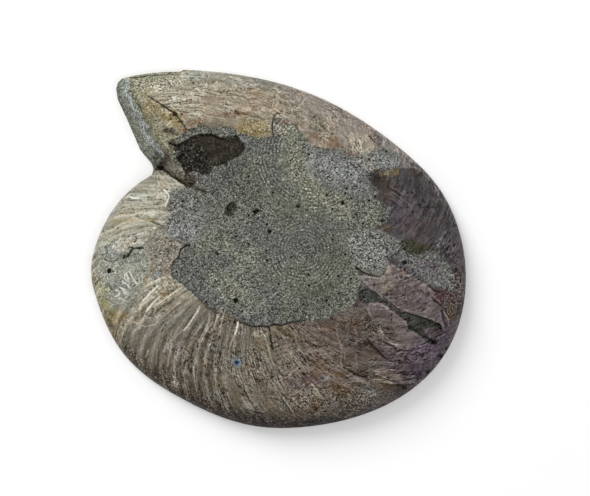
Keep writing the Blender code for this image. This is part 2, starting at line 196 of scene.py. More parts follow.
# scattered dots: spacing, share of the cells that have one, radius, where, colour
DOTS = (
    (1.9, 0.16, 0.50, "level", (22, 21, 18)), (1.5, 0.10, 0.34, "level", (196, 195, 182)),
    (1.5, 0.22, 0.46, "pitted", (120, 117, 106)), (1.7, 0.12, 0.45, "shell", (34, 29, 24)),
)
DOT_CORE = 0.55                 # a dot's even middle, as a share of its radius
# how light the grains are: (share of the grains, brightness)
FINE_GRAINS = (
    (0.0, 0.02), (0.20, 0.08), (0.36, 0.50), (0.52, 0.95), (0.68, 1.45), (0.84, 2.2), (1.0, 3.4),
)
OPEN_GRAINS = ((0.0, 0.10), (0.14, 0.30), (0.30, 0.68), (0.56, 1.02), (0.78, 1.50), (1.0, 2.5))
RIM_GRAINS = ((0.0, 0.05), (0.35, 0.36), (0.65, 0.80), (0.85, 1.85), (1.0, 4.0))
GRAIN_CONTRAST = 0.74           # how much of the fine grains' contrast shows
BOLD_CONTRAST = 1.65            # contrast of the open grains in the bold patches
GRAIN, OPEN_GRAIN, RIM_GRAIN = 0.31, 0.345, 0.33        # spacing of the grains
FIBRE_WIDTH, STREAK_WIDTH = 0.38, 0.36
# shares of a turn where a part of the whorl starts, is whole, starts to fade, and is gone
LOW_SIDE = (0.20, 0.30, 0.70, 0.78)
# LOWEST and RIGHT_SIDE place the rim's painted shade and its strongest painted light
LOWEST = (0.28, 0.35, 0.46, 0.52)
RIGHT_SIDE = (0.50, 0.57, 0.70, 0.76)
RIB_SHADING = 0.28              # how much lighter a rib's crest is, as a share
BAND_AMOUNT = 0.35              # how much the pale and dull growth bands show
SHADED = 0.74                   # how dark the shaded places are, as a factor
PLATE_LIP = 1.42                # how much lighter the plates' edges are, as a factor
LINE_SOFT = 0.14                # half the width over which a drawn line fades out
STEEP_STRETCH = 0.3             # patterns are drawn out down the steep sides by this
ARCS = ((7.8, -0.6, 4.5, 13.5), (11.3, 30.0, 9.5, 19.5))    # grinding rings: centre, radii
RING_SPACING = 1.1
RING_DEPTH = 0.55               # how much lighter a ring's crest is, as a share
RING_STRETCH = 14.0             # a radian round a ring counts as this many millimetres
SHELL_ROUGHNESS = (0.42, 0.62)
SAND_ROUGHNESS, OPEN_ROUGHNESS = 0.86, 0.9
CALCITE_ROUGHNESS, MUD_ROUGHNESS = (0.25, 0.4), 0.6
SPECULAR_LEVEL = 0.08
STONE_IOR = 1.3
TOOTH, SAWN_TOOTH = 0.16, 0.06  # depth of the finest bumps
WHORL_LOG = math.log(81.0 / 45.4)   # natural logarithm of the coil's growth in one turn
SEPTA_PER_TURN = 18
SEPTUM_BOW = 9.0                # how much a chamber's wall bows
# on the sawn face, how far from its middle a wall is gone, and how far it is whole
SAWN_WALL = (0.62, 0.34)
SAWN_SEPTUM = (0.46, 0.22)
BODY_CHAMBER_TURN = 165.0       # from here to the mouth the last whorl held mud, not chambers
INK_SPOT = (-13.0, -36.0, 2.0)  # the small blue spot: x, y, reach

# ---- lines on the stone, (x, y) in millimetres --------------------------------------
MOUTH_EDGE = (
    (-50.5, 54.4), (-51.6, 53.2), (-52.1, 51.4), (-51.6, 47.9), (-48.7, 41.7), (-45.8, 35.1),
    (-44.4, 31.8), (-42.6, 29.6), (-40.6, 27.2), (-40.1, 25.4), (-40.6, 23.8),
)
MOUTH_CREST = (
    (-45.9, 53.4), (-45.9, 51.2), (-45, 49), (-43.1, 45.9), (-39.9, 40.2), (-37.4, 34.8), (-34.5, 31),
)
SEAM_FOOT = (
    (-39.5, 25.4), (-37.9, 25.4), (-35.7, 24.5), (-33.8, 22.9), (-29, 19.7), (-22.7, 17.5),
)
WALL_TOP = (
    (-34.5, 31), (-31.3, 26.6), (-29.8, 23.7), (-27.6, 21.2), (-21.9, 18.3),
)
PLATEAU = (
    (-28.8, 37.3), (-23.8, 38.6), (-18.7, 38.3), (-14.9, 38.1), (-11.8, 36.9), (-7.7, 35.6),
    (-2.3, 35.1), (-2.1, 38.6), (-1.5, 41.6), (1.5, 41.1), (5, 38.9), (7.8, 36.1), (9.7, 32.9),
    (13.8, 32), (21.7, 31), (24.9, 28.4), (28.7, 31.3), (33.7, 31.9), (38.5, 29.4), (37.2, 25.6),
    (32.2, 25), (28, 23.1), (31.5, 18.6), (31.5, 15.2), (35.9, 13), (34.7, 8.5), (30.3, 6.3),
    (39.1, 2.5), (39.7, -0.3), (34, -4.1), (34.4, -6.3), (32.2, -8.8), (28, -7.9), (24.9, -6.3),
    (26.2, -9.8), (25.2, -14.8), (23.3, -18.6), (18.9, -20.8), (14.8, -22.7), (6.6, -23), (-2.6, -24.6),
    (-7.6, -24.6), (-12.1, -22.7), (-15.9, -21.2), (-20.9, -19.9), (-25.3, -15.8), (-29.4, -11.7),
    (-34.2, -8.8), (-33.9, -5.4), (-31.3, -2.2), (-29.7, 0.6), (-34.8, 4.1), (-35.4, 7.3),
    (-33.9, 10.4), (-35.7, 13.6), (-35.1, 17.1), (-28.8, 19.6), (-22.5, 17.4), (-27.5, 21.2),
    (-29.7, 23.7), (-31.3, 26.5), (-34.5, 31), (-34.2, 33.5), (-31.6, 35.1),
)
HOLLOW = (
    (-33.9, 33.5), (-32, 32.6), (-30.1, 33.5), (-25.7, 35.7), (-21.6, 36.2), (-16.8, 34.5), (-13, 35.6),
    (-10.5, 31.9), (-12.4, 29.4), (-14.6, 27.8), (-20.6, 25.9), (-21.6, 23.4), (-26.6, 24.3),
    (-29.1, 23.4), (-30.4, 25.9), (-31.7, 28.8), (-30.4, 30.7),
)
CHANNEL = (
    (25.4, -14.1), (27.9, -12.7), (30.7, -13.2), (33, -16), (36.3, -18.9), (38.9, -20.4), (41.9, -20.6),
    (45.3, -21.4), (49.2, -22.9), (51.4, -24.4), (52, -25.7), (48.6, -25), (45, -24.9), (46.4, -26.4),
    (48.6, -28.4), (51.2, -29.5), (50, -30.6), (47.5, -29.8), (44.7, -27.8), (41.9, -25.6),
    (41.1, -23.4), (38.6, -21), (35.8, -19.3), (33.3, -17.4), (31.6, -17), (27.7, -17.7), (25.7, -15.8),
)
BARE_PATCH = (
    (37.3, 2.9), (41, 1.6), (44.8, -1.4), (49.5, -0.6), (53.6, -4), (56, -7.3), (57.6, -12.4),
    (54.4, -13.3), (50.3, -12.4), (47.1, -10.8), (44.3, -7.6), (38.3, -3.8), (35.4, -2.5),
)
BARE_RIM = (
    (-47.1, 54.8), (-40.3, 57), (-30.8, 58.5), (-31.1, 54.6), (-35.2, 53.6), (-39.1, 52), (-43.2, 50.4),
    (-46.4, 50.8),
)
CRACKS = (
    ((-40.8, 48), (-35.5, 44.6), (-32.9, 42.8), (-30.7, 40.5), (-28.8, 37.6)),
    ((-2.9, -25.2), (-2.6, -27.2), (-1, -35.4), (0.6, -42.1), (3.1, -48.1)),
    ((-40.7, 1.9), (-42.9, 0.3), (-45.8, 0), (-47.7, -2.5), (-50.8, -3.5), (-54.6, -3.5)),
    ((27.8, -28.2), (29.7, -30.4), (31.9, -32.6), (34.8, -35.2)),
    ((22.8, -38.8), (26, -40.4), (31.1, -40.7), (35.5, -42.3), (39.7, -43.9)),
)
# pits: x, y, radius, depth
PITS = (
    (-14.9, 12.6, 1.7, 1), (-7, 11.7, 0.9, 0.8), (-2.6, 5.4, 0.9, 0.8), (6.3, 13.3, 0.8, 0.6),
    (20.5, 14.2, 0.9, 0.8), (-13.3, -16.4, 1, 0.8), (-13.6, -23, 0.9, 0.7), (-27.2, 20.5, 1.3, 1.3),
    (-37.2, 26.2, 0.9, 0.8), (-53.3, -7.1, 1.1, 0.9), (40, -4.4, 1, 0.8), (52, -34.7, 1.3, 1.6),
    (48.1, -39.9, 1.3, 1.6),
)
# lines drawn on the stone: half width, strength, points
PALE_LINES = (
    (0.22, 0.7, ((-49.1, -22), (-45.6, -23.4), (-42.2, -24.7), (-38.7, -24))),
    (0.48, 1, ((-38, -11.7), (-39.9, -13.6), (-41.8, -15.5), (-42.8, -16.4))),
    (0.48, 0.9, ((-37.4, -15.2), (-39.6, -17.1), (-40.9, -18.7), (-41.5, -19.9))),
    (0.24, 0.8, ((-31.1, -12.7), (-33, -13.9), (-35.2, -15.5), (-37.4, -17.1), (-39, -18))),
    (0.29, 0.7, ((-41.5, -21.5), (-40.3, -22), (-39.5, -20.6), (-39.3, -18.7))),
    (0.48, 0.8, ((-24.8, -18.3), (-25.4, -19.9), (-27, -22.1), (-28.5, -24.4), (-29.8, -25.9))),
    (0.32, 0.6, ((-21.6, -20.6), (-22.2, -24), (-23.8, -26.9), (-25.1, -29.7))),
    (0.4, 0.7, ((-19.1, -20.9), (-19.7, -23.4), (-20.3, -25.3))),
    (0.4, 0.7, ((-17.1, -20.5), (-17.8, -23.1), (-18.4, -25.3))),
    (0.48, 1, ((-12.7, -23.4), (-13, -25.3), (-13.7, -27.5))),
    (0.32, 0.6, ((-13.7, -27.5), (-14.9, -29.7), (-15.6, -32.6))),
    (0.48, 0.6, ((-33.6, -30.1), (-33.9, -32), (-34.6, -34.5), (-35, -37.7))),
    (0.32, 0.5, ((-42.8, -30.4), (-43.5, -32), (-44.3, -33.7))),
    (0.32, 0.7, ((-41, -32), (-42, -34.6))),
    (0.32, 0.45, ((-44.4, -27.6), (-45.5, -30.5), (-46.3, -32.8))),
    (0.48, 0.45, ((-38.4, -32), (-38.8, -36.8))),
    (0.64, 0.5, ((-22.8, -32.6), (-23.1, -35.1), (-23.5, -37.6))),
    (0.4, 0.5, ((-30.4, -25.6), (-32.7, -28.2), (-34.9, -31), (-36.5, -32.6))),
    (0.56, 0.9, ((-36.2, 18.7), (-34.5, 16.8), (-35.2, 14.6), (-35.8, 13.3))),
    (0.64, 0.7, ((-42.2, 11.1), (-40, 11.4), (-38, 11.1))),
    (0.32, 0.6, ((-33.6, 11.4), (-36.5, 10.1), (-38.1, 9.2))), (0.64, 1, ((-39.3, 6.5), (-38.7, 6.7))),
    (0.32, 0.5, ((-40.9, -2.2), (-40.6, -4.4), (-40.9, -6.6))),
    (0.29, 0.6, ((-37.4, -10.4), (-39.9, -11.4), (-41.8, -12))),
    (0.26, 0.5, ((-1.6, -25), (0.6, -26.9), (2.1, -28.8), (3.1, -31), (4, -33.5), (4.7, -35.4))),
    (0.19, 0.5, ((3.7, -25), (5.3, -27.2), (5.9, -29.7), (7.2, -32.2), (8.5, -34.1), (9.4, -36),
     (9.7, -39.5))),
    (0.26, 0.45, ((18.6, -25.6), (18.9, -27.8), (19.5, -30.3), (20.2, -32.8), (19.8, -35.7),
     (20.2, -37.9))),
    (0.21, 0.5, ((19.5, -29.1), (20.2, -31), (21.1, -32.8), (21.1, -35.1))),
    (0.24, 0.5, ((8.2, -33.2), (10.7, -32.5), (13.2, -32.2), (15.1, -32.9), (16.4, -34.1))),
    (0.3, 0.6, ((-3.5, -30.3), (-2.9, -32.5), (-2.3, -34.4), (-0.7, -37.6))),
    (0.36, 0.66, ((-0.1, -42), (0.9, -43.6), (1.8, -45.9))),
    (0.32, 0.7, ((1.5, -47.1), (2.8, -49.1), (4, -51), (5.3, -53.1))),
    (0.29, 0.6, ((6.9, -37.3), (5.6, -38.2), (4, -39.2), (3.4, -40.4), (1.5, -41.1), (0.2, -42))),
    (0.29, 0.5, ((7.2, -44.9), (5.3, -45.8), (3.1, -46.8))),
    (0.29, 0.6, ((11, -45.2), (12.6, -46.5), (14.5, -47.4))),
    (0.32, 0.5, ((-11.5, -47.1), (-10.2, -48.8), (-9, -50.7))),
    (0.24, 0.5, ((-12.1, -38.9), (-11.1, -41.1), (-9.9, -42.7))),
    (0.24, 0.5, ((-8.6, -41.7), (-7.3, -43))),
    (0.28, 0.6, ((25.5, -8.8), (27.7, -8.8), (30.3, -9.2), (32.1, -9.5), (34, -7.9), (35, -6),
     (34.4, -3.8))),
    (0.24, 0.45, ((26.5, -9.8), (28.7, -11.4), (30.9, -13.4), (33.1, -15.6), (35.3, -17.3),
     (38.1, -18.8), (41.6, -20.2), (45.4, -21.2), (48.7, -22.3), (51.6, -23.7), (53, -25.8))),
    (0.22, 0.4, ((29.9, -21.8), (28.7, -19.9), (27.1, -18), (29.6, -17.2), (31.8, -17.2))),
    (0.24, 0.6, ((32.2, -25.6), (33.4, -27.5), (35, -28.7))),
    (0.18, 0.35, ((29.3, -29.1), (30.9, -30.9), (33.1, -33.2), (34.7, -34.4))),
    (0.24, 0.6, ((52.6, -20), (54, -22.6), (54.4, -24.5))),
    (0.26, 0.5, ((7.8, 23.4), (9.4, 25.6), (11.9, 28.7))),
    (0.24, 0.8, ((-46.6, 47.2), (-46.4, 45.4), (-45.8, 43.8))),
    (0.23, 0.6, ((-39.2, 38.2), (-39.2, 36.3), (-38.9, 35.1))),
    (0.21, 0.96, ((-47.8, -10.4), (-48.6, -9.5), (-48.5, -8.4), (-47.8, -7.6))),
    (0.21, 1, ((-48, -7.9), (-47.5, -9.2), (-47.3, -10.1))),
    (0.23, 1, ((-47, -7.3), (-46.4, -8.2), (-46.2, -9.2), (-45.4, -9.7), (-45.3, -10.4),
     (-44.7, -11.2))),
    (0.21, 0.96, ((-49.2, -10), (-49.2, -10.8), (-48.5, -11.1), (-47.7, -11.5), (-47.3, -12.3))),
    (0.21, 0.96, ((-50.1, -12.3), (-49.4, -13), (-48.5, -14), (-47.6, -14.6))),
    (0.19, 0.84, ((-49.7, -12.3), (-48.6, -13), (-47.3, -14.1), (-47.5, -14.7))),
    (0.21, 0.84, ((-51.6, -13.3), (-51, -13), (-50.5, -13.6), (-50.1, -14.2), (-50.7, -14.9),
     (-51.6, -15.2))),
    (0.21, 0.84, ((-50.8, -15.5), (-49.7, -16), (-48.6, -16.4))),
    (0.19, 0.72, ((-44, -11.1), (-44, -9.8), (-43.7, -8.9), (-43.1, -8.2), (-42.7, -9), (-43.1, -10.1),
     (-42.9, -11.1))),
    (0.26, 0.9, ((-37.4, -9.7), (-39, -10.2), (-40.2, -10.8))),
    (0.35, 1, ((-47.2, 16.5), (-46.6, 16.1), (-45.3, 16), (-44.2, 16.1))),
    (0.26, 0.7, ((-52.3, 9.9), (-50.1, 10.3), (-46.9, 10.8), (-43.7, 11.3), (-40.6, 11.5))),
    (0.24, 0.7, ((-55.4, 5.7), (-53.8, 5.6), (-52.3, 6.3), (-50.1, 7.6), (-47.8, 8.5), (-45.3, 9),
     (-42.1, 8.9))),
    (0.23, 0.5, ((-47.5, 13), (-45, 13), (-41.8, 13.1), (-37.4, 13.6))),
    (0.26, 0.6, ((-46.6, 1.6), (-45.6, 0.6), (-44.4, 0.8))),
    (0.24, 0.7, ((-38.8, 24.4), (-37.1, 22.8), (-35.5, 21.3), (-34.6, 19.9), (-33.9, 18))),
    (0.21, 0.34, ((35.4, 19.6), (37.3, 18.7), (39.5, 17.1))),
    (0.21, 0.31, ((36, 17.8), (37.6, 16.8), (38.8, 15.8))),
    (0.21, 0.31, ((33.8, 17.4), (36, 17.1), (37.9, 15.5), (39.8, 13.6))),
    (0.19, 0.28, ((35.7, 15.8), (37.6, 14.6), (39.2, 13.3))),
    (0.19, 0.31, ((39.2, 15.5), (40.7, 14.6), (42.3, 13.6))),
    (0.19, 0.31, ((41.4, 15.5), (43, 14.7), (44.5, 14.2))), (0.19, 0.31, ((41.1, 13.6), (42.6, 12.8))),
    (0.19, 0.31, ((45.2, 14.2), (46.1, 13.3))), (0.19, 0.31, ((47.1, 16.8), (48, 16), (48.6, 16.5))),
    (0.19, 0.28, ((36.2, 22.5), (36.2, 21.2), (36.9, 20.4))),
    (0.19, 0.31, ((39.2, 8.5), (39.7, 5.4), (39.9, 2.9))), (0.19, 0.31, ((42.6, 5.7), (42.8, 2.9))),
    (0.19, 0.28, ((41.1, 26.9), (43, 25.9), (44.2, 25.3))), (0.18, 0.4, ((-1.8, -32.3), (2.4, -30.6))),
    (0.18, 0.4, ((-1.6, -33.4), (2.7, -31.8))), (0.18, 0.4, ((-1.1, -34.8), (2.9, -33.2))),
    (0.18, 0.35, ((-0.4, -36), (3.1, -34.3))), (0.18, 0.35, ((0.1, -36.9), (3.1, -35.5))),
    (0.18, 0.4, ((6.6, -29.4), (8, -27.6))),
    (0.18, 0.4, ((4.3, -34.6), (6.6, -32.3), (9.1, -31.9), (12.7, -32))),
    (0.18, 0.4, ((2, -30.4), (3.1, -33.2), (4.7, -34.2))), (0.18, 0.5, ((23.9, -24.8), (24.8, -27.1))),
    (0.18, 0.4, ((24.4, -33.7), (25.2, -36.9))), (0.21, 0.6, ((-11.6, -47.6), (-9.2, -50.5))),
    (0.19, 0.5, ((21.1, -42.5), (24, -41.9), (27.1, -42.1))),
    (0.23, 0.7, ((10.4, -42.7), (12, -44.3), (13.8, -47.1))),
    (0.19, 0.6, ((15.1, -41.4), (16.4, -39.5), (18, -40.5))),
)
# dark lines: cracks and crevices, and painted shadow under the ground face's ledges, under the hollow's
# upper lip and below raised pale lines
DARK_LINES = (
    (0.24, 0.8, ((-39.4, -18.8), (-39.7, -21), (-40.9, -21.6), (-41.8, -20.8))),
    (0.19, 0.5, ((-15.9, 4.1), (-13.4, 5.7), (-10.2, 7.4), (-7.3, 9.2), (-5.1, 10.1))),
    (0.21, 0.6, ((-47.5, 15.3), (-45.6, 15.3), (-43.4, 15.4))),
    (0.19, 0.5, ((-47.5, 12.5), (-45.9, 12.6), (-45.8, 11.7), (-45.6, 11.1))),
    (0.23, 0.6, ((-42.5, 18.7), (-41.5, 17.5))), (0.26, 0.8, ((-39.9, 8.5), (-38.3, 7.7), (-36.4, 7))),
    (0.26, 0.8, ((-45, 3.8), (-44.7, 3), (-45.6, 2.1))),
    (0.29, 0.9, ((-45, 0), (-43.7, -0.2), (-42.5, 0.2))),
    (0.23, 0.8, ((-47.8, -0.1), (-46.9, 0.6), (-45.9, 0), (-46.6, -1.3), (-47.5, -2.8))),
    (0.23, 0.7, ((-55.4, -1.9), (-54.2, -1.3), (-54.5, 0), (-55.1, 0.6))),
    (0.21, 0.7, ((-53.4, -11.9), (-52.6, -13.3))),
    (0.23, 0.6, ((-41.5, -21.2), (-40.4, -21.5), (-39.8, -20.2), (-39.9, -19))),
    (0.21, 0.6, ((35.4, 18.9), (37.3, 17.9), (39.5, 16.3))),
    (0.21, 0.6, ((36, 17.2), (37.6, 16.1), (38.8, 15.2))),
    (0.21, 0.6, ((35.7, 15.2), (37.6, 13.9), (38.8, 12.8))),
    (0.19, 0.5, ((44.9, 13), (48, 13.2), (53.7, 13.2))), (0.26, 0.8, ((44.5, 13.9), (45, 13.5))),
    (0.23, 0.7, ((45.8, 15.5), (46.7, 14.6))), (0.23, 0.7, ((49, 17.7), (49.9, 16.5))),
    (0.23, 0.8, ((28.1, 22.8), (29.7, 23.2), (30.9, 24.5), (32.2, 24.9))),
    (0.3, 1, ((-40.9, 48.1), (-38.3, 46.5), (-35.1, 44.4), (-33.5, 43.2), (-32.2, 42.3), (-31, 40.7),
     (-29.7, 39), (-28.8, 37.6))),
    (0.62, 0.75, ((-38.9, 26.3), (-37.8, 25.7), (-35.8, 24.6), (-34.1, 23.2), (-32.1, 22),
     (-30.2, 20.9), (-28.9, 19.6))),
    (0.5, 0.6, ((-28.2, 20.7), (-26.3, 20.5))), (0.4, 0.5, ((-25.1, 18.7), (-23.2, 17.7))),
    (0.4, 1, ((-34.4, 33.4), (-33.5, 32.8), (-32, 32.4), (-30.4, 33.2), (-29.1, 34), (-27.9, 34.6))),
    (0.32, 0.8, ((-27.8, 35), (-25.6, 35.8), (-23.1, 36), (-21.2, 35.9), (-19.3, 35.1), (-17.8, 34.5),
     (-16.5, 34.7), (-14.9, 35.5), (-12.7, 35.4))),
    (0.32, 0.9, ((-32.6, 28.4), (-31.4, 28.8), (-30.1, 29.6))),
    (0.32, 0.9, ((-0.2, 43), (-1.1, 42), (-1.6, 40.7), (-1.8, 38.8), (-1.8, 37.2), (-1.5, 35.3))),
    (0.29, 1, ((-12.1, -23.4), (-10.2, -24), (-8, -24.8), (-6.4, -24.5), (-4.5, -24.5), (-2.9, -24.8),
     (-2.6, -25.9), (-2.4, -27.5), (-2.1, -29.7), (-1.8, -31.9))),
    (0.32, 0.9, ((-2.3, -24.2), (-0.4, -24), (1.2, -24.3), (2.8, -23.7), (4.4, -23.2), (6.6, -23.1),
     (8.5, -22.6))),
    (0.48, 1, ((-27.9, 1.1), (-29.2, 0.8), (-30.5, 0), (-31.1, -1.3), (-31.2, -2.2))),
    (0.4, 0.9, ((-31.4, -2.7), (-32.4, -3.5), (-33.1, -4.3), (-33.9, -5.7))),
    (0.32, 0.85, ((-43.1, 0.3), (-45.4, 0), (-46.6, -0.6), (-47.3, -1.9), (-48.2, -3.2),
     (-48.3, -4.4))),
    (0.64, 0.9, ((-48.5, -2.2), (-49, -3.2))),
    (0.24, 0.6, ((-50.8, -3.5), (-52.7, -4.1), (-54.8, -3.8), (-55.8, -2.5))),
    (0.24, 0.6, ((-55.2, 0.3), (-53.8, 0.6))),
    (0.32, 0.8, ((-56.8, -9.7), (-57.9, -10.7), (-58.7, -11.7))),
    (0.32, 0.7, ((-53.9, -11.7), (-52.9, -13.2))),
    (0.29, 0.35, ((-29.5, -11.7), (-27.6, -13.3), (-25.7, -15.2), (-23.8, -17.1), (-22.2, -18.7),
     (-20.6, -19.9), (-19.4, -20.6))),
    (0.64, 1, ((24.6, -6), (25.8, -6.6))),
    (0.29, 0.9, ((25.8, -6.6), (27.4, -7.6), (29, -8.5), (30.9, -8.8), (32.5, -8.8))),
    (0.5, 0.6, ((28.1, -28.4), (29.6, -30.3), (31.2, -31.9), (32.8, -33.8), (34.4, -35.1))),
    (0.4, 0.8, ((33.1, -29.4), (35, -30), (36.6, -31), (37.5, -31.9))),
    (0.5, 0.7, ((33.1, -15.4), (35.3, -17.2), (36.9, -18.4), (38.5, -19.4))),
    (0.3, 0.5, ((40.5, -20.2), (43.2, -21.1), (46.4, -22.1), (48.8, -23.4), (51.1, -25))),
    (0.3, 0.6, ((42.3, -25), (44.5, -26.6), (47.2, -28.3), (50.5, -30.2))),
    (0.4, 0.7, ((51.6, -19.6), (52.3, -21.9), (53.3, -24.2))),
    (0.32, 0.7, ((40.1, -34.2), (41.7, -35.5), (43, -36.1))),
    (0.32, 0.8, ((22.7, -38.6), (24.3, -39.5), (26.2, -40.3), (27.8, -40.9))),
    (0.24, 0.55, ((30.3, -39.2), (31.3, -40.8), (33.2, -41.2), (35.4, -41.8), (37.7, -42.9),
     (39.7, -43.8))),
    (0.24, 0.5, ((28.9, 36.6), (29.8, 35), (31.1, 33.4), (32.3, 32.8))),
    (0.32, 0.5, ((19.1, 45.2), (20.6, 43.1), (21.9, 41.8), (24.8, 41.3))),
    (0.32, 0.8, ((-47.1, 54.5), (-43.3, 55), (-38.5, 55.4), (-33.4, 55.8))),
    (0.29, 0.5, ((-40, 8.9), (-37.4, 7.6))),
    (0.24, 0.7, ((0.9, -46.8), (2.1, -48.7), (3.7, -51), (5, -53.1))),
    (0.4, 0.7, ((48, -12), (49.3, -13), (51.2, -13.9))),
    (0.4, 0.8, ((48.6, -15.5), (50.3, -17.1), (51.9, -18.1))),
    (0.32, 0.6, ((28.7, 5.1), (29.9, 3.8), (30.9, 2.8))),
    (0.32, 0.6, ((32.1, 1.3), (33.7, 0.3), (35.3, -0.9))),
    (0.32, 0.5, ((39.7, 0), (41.7, -1.6), (43.6, -2.5), (46.1, -3.2))),
)
# x, y, radius, strength
DARK_SPOTS = (
    (-6.4, 12, 0.9, 1), (-7.4, 11.5, 0.9, 1), (-32.6, 42.5, 0.9, 1), (-37.3, 25.9, 0.6, 0.6),
    (5.3, 39.2, 0.6, 0.5), (-7, 11.7, 0.97, 0.9), (-2.6, 5.4, 0.84, 0.9), (6.3, 13.3, 0.64, 0.7),
    (20.5, 14.4, 0.77, 1), (33.1, 8.8, 0.84, 0.9), (-19.3, -1.3, 0.71, 0.8), (-13.4, -16.4, 0.9, 1),
    (-13.7, -23.3, 0.6, 0.7), (-12.2, -15.2, 0.48, 0.8), (-15.2, -15.8, 0.51, 0.8),
    (-16.5, 27, 0.9, 0.8), (-6.4, 26.8, 0.51, 0.7), (-5.1, 21.9, 0.51, 0.7), (4.7, 16.4, 0.64, 0.7),
    (-27.3, -5.1, 0.51, 0.7), (40.1, -4.4, 0.77, 0.9), (-53.6, -7.1, 1.16, 1),
    (-22.5, -18.7, 0.58, 0.7), (51.7, -34.3, 1.29, 1), (47.9, -39.4, 1.09, 1), (54, -32.1, 0.97, 1),
    (40.4, -44.4, 1.09, 0.9), (56.6, -6.7, 0.97, 0.8), (53.6, -2.2, 1.29, 0.6),
    (-25.3, 14.9, 0.71, 0.7), (13.8, -41.1, 0.77, 0.7), (44.9, 13.9, 0.71, 0.8),
    (-39.9, -21.2, 0.97, 0.5), (21.7, 18.9, 0.64, 0.8), (29, 28.1, 0.64, 0.8), (32.2, 28.2, 0.48, 0.7),
    (42.3, -4.4, 0.58, 0.6), (-30.1, 13.3, 0.48, 0.5), (-0.4, 39.4, 0.58, 0.6), (-23.1, -37, 0.71, 0.7),
    (-22.5, -40.1, 0.84, 0.7), (-11.1, -46.2, 0.58, 0.7),
)
# coarse grit and sand along the borders of the ground face
COARSE_TOP = (
    (10, 31.2), (21.1, 29.7), (27.8, 31), (34, 32.1), (39.8, 29), (37.3, 25.7), (29.6, 24),
    (27.4, 21.8), (29.6, 18), (25.8, 15.5), (17.9, 18.6), (11.6, 21.1), (8.5, 26.2),
)
COARSE_RIGHT = (
    (21.1, 5.4), (29, 6.3), (39.1, 2.2), (40.1, -0.9), (35.3, -2.8), (34, -6), (31.5, -8.2),
    (24.9, -5.4), (22, -0.3),
)
COARSE_LEFT = (
    (-34.3, 18.1), (-27.9, 18.6), (-23.1, 15.5), (-22.5, 7.6), (-24.7, 1.9), (-29.5, 1), (-34.9, 4.4),
    (-35.9, 8.6), (-33.9, 11.7), (-35.2, 14.6),
)
# grit on the shell
FUZZY_LEFT = (
    (-40.6, 6), (-35.8, 7.3), (-31.1, 0.6), (-32.4, -4.1), (-34.9, -9.2), (-40.6, -8.5), (-41.5, -1.9),
)
UMBER_PATCH = (
    (17.3, -23.1), (21.1, -19.9), (26.5, -18.6), (29.6, -22.4), (32.2, -24), (33.4, -29), (29, -29.7),
    (24.3, -28.1), (19.5, -27.2),
)
RUST_RIGHT = (
    (47, -11.1), (51.3, -12.4), (55.2, -13.3), (56.6, -16.2), (53.9, -18.1), (50.6, -17.4),
    (48.3, -14.5),
)
SPECKLE_EDGE = (
    (54.6, -5.4), (58.7, -7.4), (59.1, -13.1), (58.4, -18.2), (56.8, -23.3), (54.3, -22.6),
    (53.6, -17.8), (56.2, -13),
)
AMBER_LOW = (
    (9.7, -49.1), (12.6, -47.4), (15.7, -43), (19.5, -42), (22.1, -45.2), (19.9, -49.1), (16.4, -51.8),
    (12.6, -53.5), (10.1, -51.7),
)
GRIT_LOW = (
    (21.1, -41.4), (27.8, -42.4), (37.2, -45.6), (36.4, -48.3), (29.9, -51.2), (21.3, -53.7),
    (15.8, -53.2), (19.6, -49.1), (22.4, -45.6),
)
# pale shell with leaf-shaped sutures showing through
SUTURE = (
    (-57, 1), (-50.8, 2.9), (-43.7, 4.1), (-41.9, 1), (-40.6, -4.1), (-41.5, -9.8), (-43.7, -14.9),
    (-47.6, -18), (-53.6, -19.4), (-57.4, -16.3), (-57.9, -8.3),
)
# the two broken plates of inner shell beside the channel
UPPER_PLATE = (
    (25.5, -9), (30.5, -9.4), (34, -8), (34.4, -3.8), (40, -7.5), (47, -11.5), (51, -16.5), (53, -25),
    (50.5, -23.2), (41.6, -20.4), (34.6, -17), (27, -10.6),
)
LOWER_PLATE = (
    (27.7, -17.9), (31.6, -17.3), (33.5, -18), (36.3, -20.2), (38.9, -21.6), (41.1, -23.9),
    (41.9, -25.6), (44.7, -27.8), (47.5, -29.8), (46.4, -31.4), (41.9, -31.2), (40.3, -32.6),
    (36.3, -30.4), (33, -29.2), (32.1, -25.8), (29.1, -21.4),
)
# a pinkish lens of shell at the lower right
TAN_LENS = (
    (30.7, -38.4), (33, -37.6), (36.3, -38.2), (39.1, -40.4), (40.4, -42.9), (38, -41.8), (34.1, -40.4),
    (31.6, -40.1),
)
# where the dark inner mould shows beside the ground face
MOULD = (
    (28.4, 23.1), (30.9, 24.6), (38.5, 25.4), (43.2, 26.2), (47.4, 22.4), (51.2, 16.7), (54.1, 10.7),
    (55.3, 5.3), (51.2, 4.1), (46.4, 2.8), (41.6, 2.5), (37.2, 3.5), (34.7, 4.8), (31.5, 7.3),
    (34.7, 8.5), (35.9, 13.3), (33.4, 13.6), (31.2, 16.4), (31.8, 18), (29, 20.8),
)
# grit along the crest of the mouth face
CREST_GRIT = (
    (-46.5, 54), (-41, 53.5), (-41.5, 50), (-39.5, 46), (-36.5, 41.5), (-33.5, 36.5), (-31.5, 33),
    (-34, 30.5), (-37, 34.5), (-40, 40), (-43.5, 46), (-45.8, 50),
)
# speckled ochre shell above the ground face
OCHRE_GRIT = (
    (-12.1, 41.1), (-5.1, 41.8), (-1.9, 41.1), (-1.9, 35.4), (-7.7, 36.1), (-12.1, 37.3),
)
# a shallow olive pit in the ground face
OLIVE_PIT = (
    (-16.5, 13.6), (-15.6, 14.7), (-13.7, 15.1), (-13, 14.2), (-13.4, 12.7), (-14.2, 10.8),
    (-15.3, 9.6), (-16.4, 10.6), (-16.8, 12.3),
)
# a ledge of rust-stained shell over the inner mould
LEDGE = (
    (30.9, 24.6), (32.8, 25), (35.7, 25.2), (38.5, 25.2), (38.7, 23.4), (35.7, 23.1), (33.5, 23.4),
    (31.9, 23.5),
)
